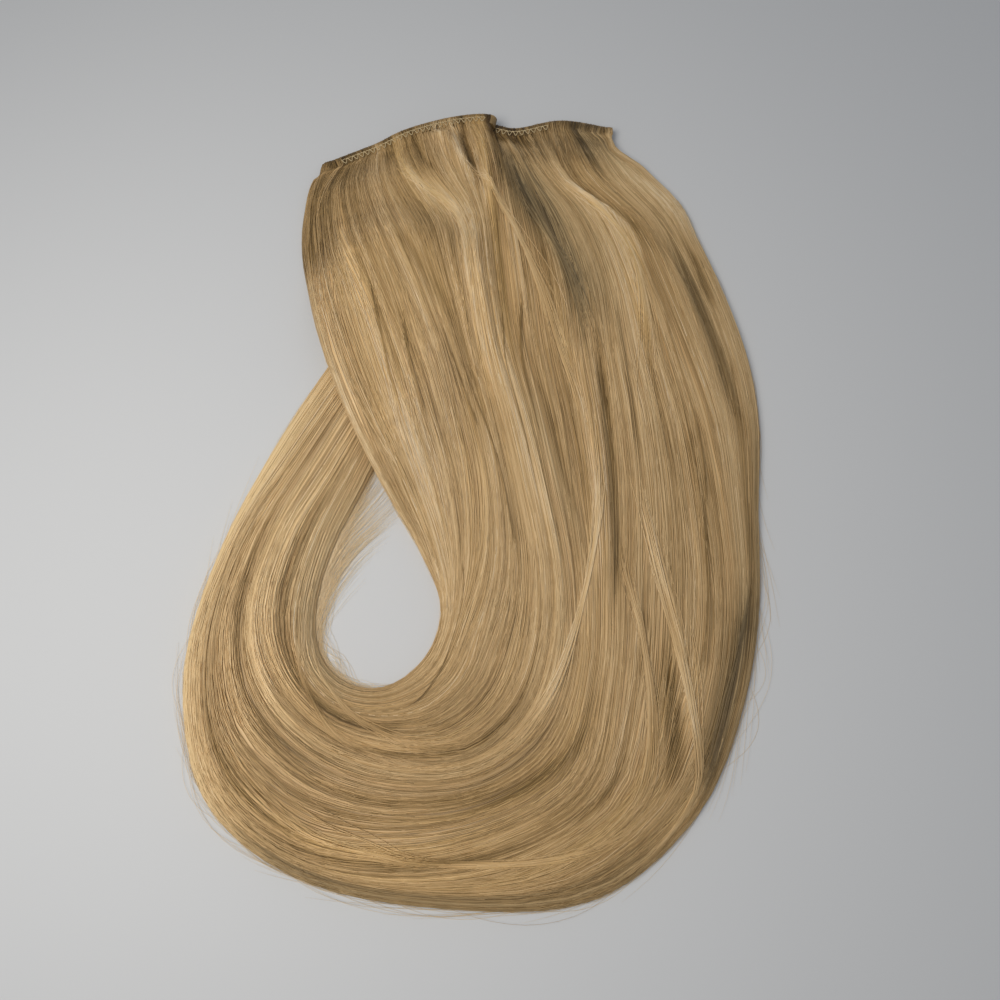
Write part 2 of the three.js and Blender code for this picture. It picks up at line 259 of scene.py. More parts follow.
# Locks, grooves and shades seen in the photo. Each follows the hair through (along, across) shares, with
# half its width and its rise in millimetres, and how much lighter and more golden it is than the rest. The
# lighter or darker share is partly the hair's own tone and partly painted light: painted highlights on
# raised locks, and painted shade in grooves, hollows and on slopes turned from the key light.
lockRows = [
    # left curtain: painted shade over the root, the bright lock that swoops down from the weft with a
    # painted highlight, and painted shade in the grooves beside it
    {"line": [(0, 0.04), (0.06, 0.03), (0.12, 0.01), (0.16, 0)], "width": 15, "rise": 0, "light": -0.3,
     "gold": 0},
    {"line": [(0, 0.17), (0.05, 0.15), (0.11, 0.13)], "width": 13, "rise": 0, "light": -0.05, "gold": 0},
    {"line": [(0, 0.3), (0.03, 0.31), (0.06, 0.33)], "width": 9, "rise": 0, "light": -0.07, "gold": 0},
    {"line": [(0.02, 0.265), (0.07, 0.3), (0.09, 0.322), (0.12, 0.328), (0.16, 0.34), (0.19, 0.335),
              (0.23, 0.325), (0.28, 0.31)], "width": 6.5, "rise": 1.8, "light": 0.18, "gold": 0.15},
    {"line": [(0.04, 0.29), (0.08, 0.315), (0.11, 0.33), (0.14, 0.335)], "width": 4, "rise": 0,
     "light": 0.1, "gold": 0.05},
    {"line": [(0.1, 0.155), (0.15, 0.17), (0.18, 0.195), (0.2, 0.22), (0.23, 0.225), (0.3, 0.225)],
     "width": 2.6, "rise": -1.1, "light": -0.17, "gold": 0.12},
    {"line": [(0.19, 0.155), (0.22, 0.165), (0.26, 0.18), (0.32, 0.185)], "width": 1.6, "rise": -0.8,
     "light": -0.15, "gold": -0.1},
    {"line": [(0.14, 0.08), (0.19, 0.07), (0.23, 0.07), (0.28, 0.075), (0.36, 0.09)], "width": 9,
     "rise": 0.5, "light": 0.08, "gold": 0.05},
    {"line": [(0.16, 0.09), (0.19, 0.09), (0.22, 0.09), (0.27, 0.085)], "width": 1.2, "rise": -0.6,
     "light": -0.13, "gold": 0},
    {"line": [(0.19, 0.115), (0.24, 0.11), (0.29, 0.105)], "width": 1.2, "rise": -0.6, "light": -0.13,
     "gold": 0},
    # gathers at the weft's fold: two puffs made bright by painted highlights, with painted shade in the
    # hollow between them
    {"line": [(0, 0.395), (0.03, 0.415), (0.06, 0.43), (0.09, 0.46)], "width": 3.4, "rise": 3.2,
     "light": 0.1, "gold": 0},
    {"line": [(0, 0.447), (0.04, 0.443), (0.08, 0.447)], "width": 2, "rise": -5.2, "light": -0.36,
     "gold": -0.1},
    {"line": [(0, 0.485), (0.05, 0.48), (0.08, 0.475), (0.12, 0.47)], "width": 2.4, "rise": 3.2,
     "light": 0.2, "gold": 0.35},
    {"line": [(0, 0.525), (0.05, 0.52), (0.09, 0.515)], "width": 1.6, "rise": -1, "light": -0.22,
     "gold": 0},
    {"line": [(0, 0.34), (0.03, 0.345), (0.06, 0.365)], "width": 1.6, "rise": -2, "light": -0.2, "gold": 0},
    {"line": [(0, 0.23), (0.03, 0.225)], "width": 1.6, "rise": -1.2, "light": -0.1, "gold": 0},
    {"line": [(0.08, 0.478), (0.12, 0.47), (0.16, 0.47), (0.19, 0.465), (0.25, 0.45)], "width": 2.6,
     "rise": -0.5, "light": -0.1, "gold": 0.28},
    {"line": [(0.21, 0.425), (0.24, 0.41), (0.27, 0.39), (0.31, 0.4), (0.34, 0.425), (0.38, 0.41)],
     "width": 2.2, "rise": 0.6, "light": 0.12, "gold": 0},
    {"line": [(0.16, 0.52), (0.21, 0.52), (0.27, 0.535), (0.31, 0.54), (0.34, 0.555), (0.39, 0.575)],
     "width": 1.5, "rise": -0.9, "light": -0.15, "gold": 0},
    {"line": [(0.24, 0.5), (0.3, 0.51), (0.33, 0.525), (0.38, 0.555)], "width": 3.2, "rise": 0.2,
     "light": 0.02, "gold": -0.35},
    # right curtain: painted shade on the strip below the weft, the ash band, golden lock and painted shade
    # in the dark lines between
    {"line": [(0, 0.595), (0.019, 0.59)], "width": 9, "rise": -0.4, "light": -0.46, "gold": 0.3},
    # painted shade over the root and along the right edge, with an ash tint
    {"line": [(0, 0.74), (0.02, 0.74), (0.05, 0.75)], "width": 12, "rise": 0, "light": -0.22, "gold": -0.2},
    {"line": [(0, 0.88), (0.02, 0.88), (0.045, 0.86)], "width": 8, "rise": 0, "light": -0.14,
     "gold": -0.35},
    {"line": [(0, 0.94), (0.03, 0.93), (0.06, 0.9)], "width": 14, "rise": 0, "light": -0.18, "gold": -0.3},
    # the ash band: ash in colour, and darker by painted shade on its slope turned from the light
    {"line": [(0.02, 0.58), (0.08, 0.575), (0.11, 0.595), (0.14, 0.61), (0.16, 0.625), (0.19, 0.64),
              (0.23, 0.65)], "width": 9, "rise": -1.6, "light": -0.22, "gold": -0.5},
    {"line": [(0.03, 0.64), (0.08, 0.65), (0.12, 0.645), (0.15, 0.65), (0.2, 0.66)], "width": 7,
     "rise": -0.8, "light": -0.1, "gold": -0.4},
    {"line": [(0.01, 0.57), (0.04, 0.58), (0.08, 0.59), (0.11, 0.6), (0.14, 0.605)], "width": 6,
     "rise": -0.3, "light": -0.17, "gold": -0.2},
    {"line": [(0.2, 0.655), (0.24, 0.65), (0.28, 0.645), (0.34, 0.645), (0.37, 0.65), (0.39, 0.65),
              (0.43, 0.64)], "width": 2, "rise": -2.4, "light": -0.42, "gold": 0},
    {"line": [(0.05, 0.715), (0.07, 0.725), (0.09, 0.755), (0.11, 0.77), (0.13, 0.78), (0.15, 0.775),
              (0.18, 0.76), (0.24, 0.74)], "width": 5, "rise": 1.5, "light": 0.08, "gold": 0.4},
    {"line": [(0.07, 0.74), (0.1, 0.785), (0.12, 0.81), (0.15, 0.825)], "width": 2.2, "rise": 1.3,
     "light": 0.26, "gold": 0.05},
    {"line": [(0.02, 0.8), (0.07, 0.795), (0.09, 0.8), (0.1, 0.825), (0.12, 0.845), (0.15, 0.885)],
     "width": 2.2, "rise": -1.6, "light": -0.2, "gold": 0},
    {"line": [(0.02, 0.92), (0.06, 0.955), (0.08, 0.97), (0.11, 0.985)], "width": 6, "rise": 0.3,
     "light": 0.24, "gold": -0.2},
    {"line": [(0.1, 0.875), (0.13, 0.9), (0.15, 0.915), (0.22, 0.915), (0.25, 0.915), (0.3, 0.93)],
     "width": 4.5, "rise": -1.4, "light": -0.26, "gold": -0.1},
    {"line": [(0.11, 0.945), (0.13, 0.955), (0.18, 0.95)], "width": 3.4, "rise": -0.6, "light": -0.28,
     "gold": 0.2},
    {"line": [(0.13, 0.7), (0.17, 0.71), (0.2, 0.695), (0.24, 0.69), (0.3, 0.685)], "width": 1.6,
     "rise": 0.6, "light": 0.12, "gold": 0},
    {"line": [(0.18, 0.705), (0.22, 0.71), (0.26, 0.7), (0.32, 0.695)], "width": 1.1, "rise": -0.8,
     "light": -0.17, "gold": 0},
    {"line": [(0.18, 0.775), (0.24, 0.75), (0.28, 0.745), (0.33, 0.745)], "width": 1.2, "rise": -0.8,
     "light": -0.15, "gold": 0.1},
    {"line": [(0.28, 0.615), (0.34, 0.61), (0.37, 0.595), (0.4, 0.56), (0.43, 0.505), (0.46, 0.475),
              (0.53, 0.43)], "width": 2.2, "rise": 1, "light": 0.14, "gold": 0},
    # lower right: the lock over the outer sheet with a painted highlight, and painted shade in the recess
    # between them
    {"line": [(0.33, 0.69), (0.38, 0.72), (0.4, 0.74), (0.43, 0.755), (0.46, 0.785), (0.48, 0.82),
              (0.5, 0.86), (0.54, 0.9)], "width": 2.2, "rise": 1.4, "light": 0.14, "gold": 0},
    {"line": [(0.36, 0.67), (0.41, 0.695), (0.43, 0.71), (0.47, 0.73), (0.51, 0.735)], "width": 1.8,
     "rise": 1.1, "light": -0.02, "gold": 0},
    # painted shade over the lower right
    {"line": [(0.26, 0.8), (0.34, 0.8), (0.4, 0.78), (0.45, 0.74)], "width": 16, "rise": 0, "light": -0.1,
     "gold": 0},
    {"line": [(0.42, 0.735), (0.44, 0.745), (0.46, 0.76), (0.5, 0.79)], "width": 3.4, "rise": -2.8,
     "light": -0.38, "gold": 0.1},
    # the outer sheet: ash in colour, and darkened by painted shade under the lock
    {"line": [(0.37, 0.93), (0.42, 0.88), (0.44, 0.855), (0.47, 0.87), (0.51, 0.925)], "width": 7.5,
     "rise": -2.2, "light": -0.32, "gold": -0.45},
    {"line": [(0.26, 0.97), (0.32, 0.975), (0.35, 0.98), (0.42, 0.97)], "width": 5, "rise": 0,
     "light": -0.12, "gold": -0.1},
    # round the bottom of the curl: painted shade in the grooves, painted highlights on the raised locks, and
    # painted shade darkening it overall
    {"line": [(0.43, 0.63), (0.47, 0.61), (0.49, 0.59), (0.51, 0.575), (0.54, 0.56), (0.59, 0.54)],
     "width": 2.6, "rise": -1.4, "light": -0.2, "gold": 0.1},
    {"line": [(0.47, 0.36), (0.52, 0.36), (0.55, 0.35), (0.58, 0.345), (0.62, 0.365), (0.67, 0.41)],
     "width": 1.3, "rise": -0.9, "light": -0.15, "gold": 0},
    {"line": [(0.5, 0.66), (0.56, 0.65), (0.6, 0.62), (0.63, 0.615), (0.71, 0.615)], "width": 2.2,
     "rise": 0.8, "light": 0.12, "gold": 0.05},
    {"line": [(0.53, 0.69), (0.58, 0.67), (0.6, 0.66), (0.63, 0.655), (0.68, 0.655)], "width": 1.6,
     "rise": -1, "light": -0.17, "gold": 0.1},
    {"line": [(0.54, 0.535), (0.62, 0.54), (0.65, 0.54), (0.7, 0.545)], "width": 1.4, "rise": -0.9,
     "light": -0.15, "gold": 0},
    {"line": [(0.48, 0.69), (0.49, 0.705), (0.52, 0.68)], "width": 1.8, "rise": -1.5, "light": -0.2,
     "gold": 0.1},
    {"line": [(0.46, 0.5), (0.6, 0.5), (0.74, 0.5)], "width": 75, "rise": 0, "light": -0.14, "gold": 0},
    {"line": [(0.49, 0.94), (0.54, 0.93), (0.6, 0.93), (0.65, 0.92), (0.72, 0.94)], "width": 8,
     "rise": -0.3, "light": -0.2, "gold": -0.5},
    # up the left side to the tips, paler and ashier beside the eye, with painted shade in the grooves and
    # painted highlights on the raised locks
    {"line": [(0.6, 0.02), (0.66, 0.05), (0.74, 0.03), (0.78, 0.05), (0.84, 0.08), (0.9, 0.1)], "width": 7,
     "rise": -0.4, "light": 0.13, "gold": -0.45},
    {"line": [(0.74, 0.5), (0.82, 0.5), (0.9, 0.5), (1, 0.5)], "width": 60, "rise": 0, "light": 0.03,
     "gold": -0.26},
    {"line": [(0.66, 0.95), (0.72, 0.94), (0.8, 0.95), (0.96, 0.95)], "width": 6, "rise": 0, "light": 0.1,
     "gold": -0.65},
    {"line": [(0.56, 0.2), (0.62, 0.275), (0.65, 0.275), (0.7, 0.27), (0.74, 0.25), (0.81, 0.265),
              (0.88, 0.25)], "width": 2, "rise": -1.5, "light": -0.22, "gold": 0.05},
    {"line": [(0.64, 0.63), (0.72, 0.6), (0.78, 0.6), (0.86, 0.62)], "width": 14, "rise": 0, "light": -0.09,
     "gold": -0.12},
    {"line": [(0.64, 0.52), (0.69, 0.52), (0.75, 0.51), (0.78, 0.505), (0.85, 0.52)], "width": 2.3,
     "rise": -1.3, "light": -0.2, "gold": 0},
    {"line": [(0.67, 0.63), (0.72, 0.62), (0.74, 0.625), (0.78, 0.65)], "width": 1.5, "rise": -0.9,
     "light": -0.15, "gold": 0},
    {"line": [(0.66, 0.455), (0.71, 0.44), (0.74, 0.39), (0.78, 0.38), (0.85, 0.385)], "width": 2.2,
     "rise": 0.6, "light": 0.1, "gold": 0},
    {"line": [(0.67, 0.59), (0.72, 0.585), (0.75, 0.605), (0.78, 0.625), (0.85, 0.64)], "width": 3,
     "rise": 0.6, "light": 0, "gold": 0},
]


def bellAcross(line, width):
    # 1 on the lock's middle line, falling off to its sides and ends
    places = np.array(line)
    middle = np.interp(along, places[:, 0], places[:, 1])
    centre = np.array([np.interp(m, across, d) for m, d in zip(middle, distance)])[:, None]
    first, last = places[0, 0], places[-1, 0]
    fade = 0.25 * (last - first)
    inside = smoothStep(along, first - (fade if first <= 0 else 0), first + fade)
    inside = inside * (1 - smoothStep(along, last - fade, last + fade * (last >= 1)))
    inside = np.where((along <= 0) & (first <= 0), 1, inside)
    return np.exp(-(((distance - centre) / width) ** 2)) * inside[:, None]


rise = np.zeros_like(distance)
light = np.zeros_like(distance)
gold = np.zeros_like(distance)
for row in lockRows:
    bell = bellAcross(row["line"], row["width"])
    rise += row["rise"] * bell
    light += row["light"] * bell
    gold += row["gold"] * bell

# Locks at three sizes as ridges that wander along the hair, and the gathers below the weft; each is painted
# lighter where it rises and darker where it sinks, as painted highlight and painted shade
ridgeRows = [
    {"cells": (13, 6), "height": 1.1, "tone": 0.05, "gold": 0.18, "seed": 3},
    {"cells": (36, 6), "height": 0.5, "tone": 0.07, "gold": 0.16, "seed": 5},
    {"cells": (100, 7), "height": 0.09, "tone": 0.09, "gold": 0.1, "seed": 7},
]
wanderSizes = {"cells": (5, 6), "share": 0.02}
gatherSizes = {"cells": (46, 20), "height": 1.0, "tone": 0.1, "length": 26, "seed": 11}
# The ridges stand out more in the hanging part than round the curl, by these factors
calmSizes = {"hanging": 1.3, "curled": 0.65, "from": 0.25, "to": 0.6}
calm = smoothStep(alongGrid, calmSizes["from"], calmSizes["to"])
calm = calmSizes["hanging"] + (calmSizes["curled"] - calmSizes["hanging"]) * calm
for ridge in ridgeRows:
    wander = latticeNoise(acrossGrid, alongGrid, *wanderSizes["cells"], ridge["seed"] + 20)
    waved = acrossGrid + wanderSizes["share"] * wander
    height = calm * latticeNoise(waved, alongGrid, *ridge["cells"], ridge["seed"])
    rise += ridge["height"] * height
    # painted light: crests lighter, hollows darker
    light += ridge["tone"] * height
    gold += ridge["gold"] * latticeNoise(waved, alongGrid, *ridge["cells"], ridge["seed"] + 40)

isTail = (alongGrid > size["tailShare"]).astype(float)
gather = latticeNoise(acrossGrid, alongGrid, *gatherSizes["cells"], gatherSizes["seed"])
gather = gather * (1 - smoothStep(fromRoot, 2, gatherSizes["length"])) * (1 - isTail)
rise += gatherSizes["height"] * gather
# painted light: raised gathers lighter, sunken ones darker
light += gatherSizes["tone"] * gather

dome = (1 - np.abs(2 * widthShare - 1) ** size["domePower"]) ** size["domeRise"]
crown = size["pileHeight"] * smoothCurve(crownPoints, along)[:, :, 1]
overClip = 1 - smoothStep(fromRoot, 1.5 * size["clipDepth"], size["clipDepth"] + size["clipRelease"])
seat = size["clipThickness"] + size["clipGap"]
underside = np.maximum(liftOverTail(plan), seat * overClip) * (1 - isTail)
# a pile lower than 12 mm has shallower locks
body = size["edgeThickness"] + (crown - size["edgeThickness"] + rise * np.minimum(1, crown / 12)) * dome
loose = underside + np.maximum(size["tipThickness"], body)
rootShare = (1 - smoothStep(fromRoot, 0, size["clipDepth"] + size["clipRelease"])) * (1 - isTail)
# the locks rise over the first 7 mm from the weft
gathered = 0.8 * rise * smoothStep(fromRoot, 0.5, 7) * dome
top = loose + (bandTop(acrossGrid) + gathered - loose) * rootShare

# The first row lies against the band's lower edge, and the whole is put where the model has it
heading = np.gradient(plan[0], axis=0)
heading /= np.linalg.norm(heading, axis=1, keepdims=True)
rootLine = plan[0].copy()
inward = np.stack([heading[:, 1], -heading[:, 0]], -1)
plan[0] += inward * (size["bandWidth"] / 2 + size["seamGap"])
plan[1] = (plan[0] + plan[2]) / 2
hairLow = np.minimum(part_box("front_hair")[0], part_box("back_hair")[0])[:2]
shift = np.array(hairLow) / mm - plan.reshape(-1, 2).min(axis=0)
plan += shift
rootLine += shift
shoulders = [[np.interp(row["along"], along, plan[:, -1, k]) for k in range(2)] for row in shoulderMoves]
for row, centre in zip(shoulderMoves, shoulders):
    near = 1 - smoothStep(np.linalg.norm(plan - centre, axis=2), 0, row["radius"])
    plan += near[..., None] * row["move"]
topPoints = np.dstack([plan, top]) * mm
lowPoints = np.dstack([plan, underside]) * mm
print("hair surface:", topPoints.shape)


def addMesh(name, points, faces=(), edges=(), uv=None, marks=None):
    mesh = bpy.data.meshes.new(name)
    mesh.from_pydata(np.asarray(points).tolist(), np.asarray(edges).tolist(), np.asarray(faces).tolist())
    if uv is not None:
        layer = mesh.uv_layers.new(name="strands")
        corners = np.empty(len(mesh.loops), int)
        mesh.loops.foreach_get("vertex_index", corners)
        layer.uv.foreach_set("vector", uv[corners].astype(np.float32).ravel())
    for mark, values in (marks or {}).items():
        layer = mesh.attributes.new(mark, "FLOAT", "POINT")
        layer.data.foreach_set("value", np.asarray(values, np.float32).ravel())
    mesh.polygons.foreach_set("use_smooth", np.ones(len(mesh.polygons), bool))
    obj = bpy.data.objects.new(name, mesh)
    scene.collection.objects.link(obj)
    return obj


def quadGrid(countA, countB, offset=0):
    a, b = np.meshgrid(np.arange(countA - 1), np.arange(countB - 1), indexing="ij")
    start = offset + a * countB + b
    return np.stack([start, start + countB, start + countB + 1, start + 1], -1).reshape(-1, 4)


def addMass(name, firstColumn, lastColumn):
    # the closed body of hair between two columns of the grid: top, underside and walls
    step = gridSizes["massStep"]
    cut = (slice(None, None, step), slice(firstColumn, lastColumn + 1, step))
    sink = np.array([0, 0, gridSizes["massDepth"] * mm])
    upper, lower = topPoints[cut] - sink, lowPoints[cut]
    countA, countB = upper.shape[:2]
    half = countA * countB
    points = np.concatenate([upper.reshape(-1, 3), lower.reshape(-1, 3)])
    ring = np.concatenate([
        np.arange(countB),
        np.arange(1, countA) * countB + countB - 1,
        (countA - 1) * countB + np.arange(countB - 2, -1, -1),
        np.arange(countA - 2, 0, -1) * countB,
    ])
    after = np.roll(ring, -1)
    walls = np.stack([ring, after, after + half, ring + half], -1)
    faces = np.concatenate([quadGrid(countA, countB), quadGrid(countA, countB, half)[:, ::-1], walls])
    uv = np.tile(np.stack([acrossGrid[cut].ravel(), alongGrid[cut].ravel()], -1), (2, 1))
    marks = {"light": np.tile(light[cut].ravel(), 2), "gold": np.tile(gold[cut].ravel(), 2)}
    return addMesh(name, points, faces, uv=uv, marks=marks)


# Hair's materials
hairFinish = {
    "stops": [(0.0, "564124"), (0.25, "8f7346"), (0.5, "c6a472"), (0.75, "e6c795"), (1.0, "f9e9cc")],
    "base": 0.6,
    "ash": "9a8867",
    "golden": "c8a35e",
    "dye": 0.85,  # how strongly the golden and ash marks tint
    "strandPitch": 0.8,  # mm across, a wisp of a dozen hairs, since a hair's 0.07 mm would not show
    "hairWidth": 160,  # mm, the mass's width that its map spans
    "streaks": 0.8,
    "cloudScale": 140.0,  # to the metre, patches of 7 mm
    "clouds": 0.06,
}


def hairMaterial(name, onMass):
    # dyed human hair: satin strands whose light runs across them in bands
    made = bpy.data.materials.new(name)
    made.use_nodes = True
    tree = made.node_tree
    shader = tree.nodes["Principled BSDF"]
    # the light mark is the hair's own tone together with the painted highlights and painted shade of the
    # lock, ridge and weft tables
    lightMark = addNode(tree, "ShaderNodeAttribute", attribute_name="light").outputs["Fac"]
    goldMark = addNode(tree, "ShaderNodeAttribute", attribute_name="gold").outputs["Fac"]
    tone = addNode(tree, "ShaderNodeMath", {0: lightMark, 1: hairFinish["base"]}, operation="ADD")
    place = addNode(tree, "ShaderNodeTexCoord").outputs["Object"]
    cloudInputs = {"Vector": place, "Scale": hairFinish["cloudScale"], "Detail": 1.0}
    cloud = addNode(tree, "ShaderNodeTexNoise", cloudInputs).outputs["Fac"]
    cloud = addNode(tree, "ShaderNodeMath", {0: cloud, 1: 0.5}, operation="SUBTRACT")
    clouded = {0: cloud, 1: hairFinish["clouds"], 2: tone}
    tone = addNode(tree, "ShaderNodeMath", clouded, operation="MULTIPLY_ADD")
    if onMass:
        # streaks along the hair at a strand's pitch, from the mass's own map
        lanes = addNode(tree, "ShaderNodeUVMap", uv_map="strands")
        cells = (hairFinish["hairWidth"] / hairFinish["strandPitch"], 6, 1)
        stretched = addNode(tree, "ShaderNodeMapping", {"Vector": lanes, "Scale": cells})
        streakInputs = {"Vector": stretched, "Scale": 1.0, "Detail": 3.0}
        streaks = addNode(tree, "ShaderNodeTexNoise", streakInputs, noise_dimensions="2D").outputs["Fac"]
        spread = addNode(tree, "ShaderNodeMath", {0: streaks, 1: 0.6}, operation="SUBTRACT")
        streaked = {0: spread, 1: hairFinish["streaks"], 2: tone}
        tone = addNode(tree, "ShaderNodeMath", streaked, operation="MULTIPLY_ADD")
        bump = addNode(tree, "ShaderNodeBump", {"Height": streaks, "Strength": 0.6, "Distance": 0.0005})
        tree.links.new(bump.outputs["Normal"], shader.inputs["Normal"])
    colour = addNode(tree, "ShaderNodeValToRGB", {"Fac": tone}, stops=hairFinish["stops"]).outputs["Color"]
    for strength, code in ((hairFinish["dye"], "golden"), (-hairFinish["dye"], "ash")):
        amount = {0: goldMark, 1: strength}
        share = addNode(tree, "ShaderNodeMath", amount, operation="MULTIPLY", use_clamp=True)
        dye = {0: 1.0, 6: colour, 7: linear(hairFinish[code])}
        dyed = addNode(tree, "ShaderNodeMix", dye, data_type="RGBA", blend_type="COLOR")
        tint = addNode(tree, "ShaderNodeMix", {0: share, 6: colour, 7: dyed.outputs[2]}, data_type="RGBA")
        colour = tint.outputs[2]
    tree.links.new(colour, shader.inputs["Base Color"])
    shader.inputs["Roughness"].default_value = 0.45
    shader.inputs["IOR"].default_value = 1.55
    shader.inputs["Specular IOR Level"].default_value = 0.4
    return made


massFibre = hairMaterial("dyed hair, packed", True)
strandFibre = hairMaterial("dyed hair, single strands", False)

foldColumn = round(size["foldLane"] * gridSizes["columns"] / 2) * 2
frontMass = addMass("frontHairMass", 0, foldColumn)
backMass = addMass("backHairMass", foldColumn, gridSizes["columns"])
for piece, nodeName in ((frontMass, "front_hair"), (backMass, "back_hair")):
    piece.data.materials.append(massFibre)
    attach(piece, "root")
    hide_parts(nodeName)
print("hair masses")


# Geometry Nodes lay a tapered tube on the hair's surface from each root; bias above 1 crowds its points
# towards the root
strandGroups = {
    "rootStrands": {
        "count": 1500, "points": 14, "reach": (0.03, 0.12),
        "rooted": 1.0, "girth": 0.34, "drift": 0.004, "bias": 1.7,
    },
    "longStrandsA": {
        "count": 560, "points": 46, "reach": (0.6, 1.0),
        "rooted": 0.8, "girth": 0.34, "drift": 0.01, "bias": 1.0,
    },
    "longStrandsB": {
        "count": 560, "points": 46, "reach": (0.6, 1.0),
        "rooted": 0.6, "girth": 0.28, "drift": 0.01, "bias": 1.0,
    },
    "midStrandsA": {
        "count": 980, "points": 26, "reach": (0.28, 0.5),
        "rooted": 0.3, "girth": 0.32, "drift": 0.01, "bias": 1.0,
    },
    "midStrandsB": {
        "count": 980, "points": 26, "reach": (0.28, 0.5),
        "rooted": 0.15, "girth": 0.28, "drift": 0.025, "bias": 1.0,
    },
    "shortStrands": {
        "count": 420, "points": 16, "reach": (0.12, 0.26),
        "rooted": 0.1, "girth": 0.26, "drift": 0.03, "bias": 1.0,
    },
}
strandSizes = {
    "hearts": 130,
    "spread": 0.01,
    "rootSpread": 0.03,
    "wander": 0.006,
    "sink": 0.7,
    "endLength": 0.02,
}
# Strands start over the weft: (along, millimetres inward of its middle line, height above its top, shade,
# part painted shade and part the weft's darker hair, how much of the hang they have), and hang past its left
# and right ends by so many millimetres
wrapRows = [
    (-0.016, -2.7, -1.8, -0.16, 0.15),
    (-0.012, -2.0, -0.1, -0.14, 0.3),
    (-0.008, -0.4, 0.3, -0.12, 0.65),
    (-0.004, 1.4, 0.25, -0.08, 0.9),
]
wrapEnds = {"share": 0.035, "past": (-5, 1.2), "drop": 1.4, "rise": 0.3, "length": 0.06}
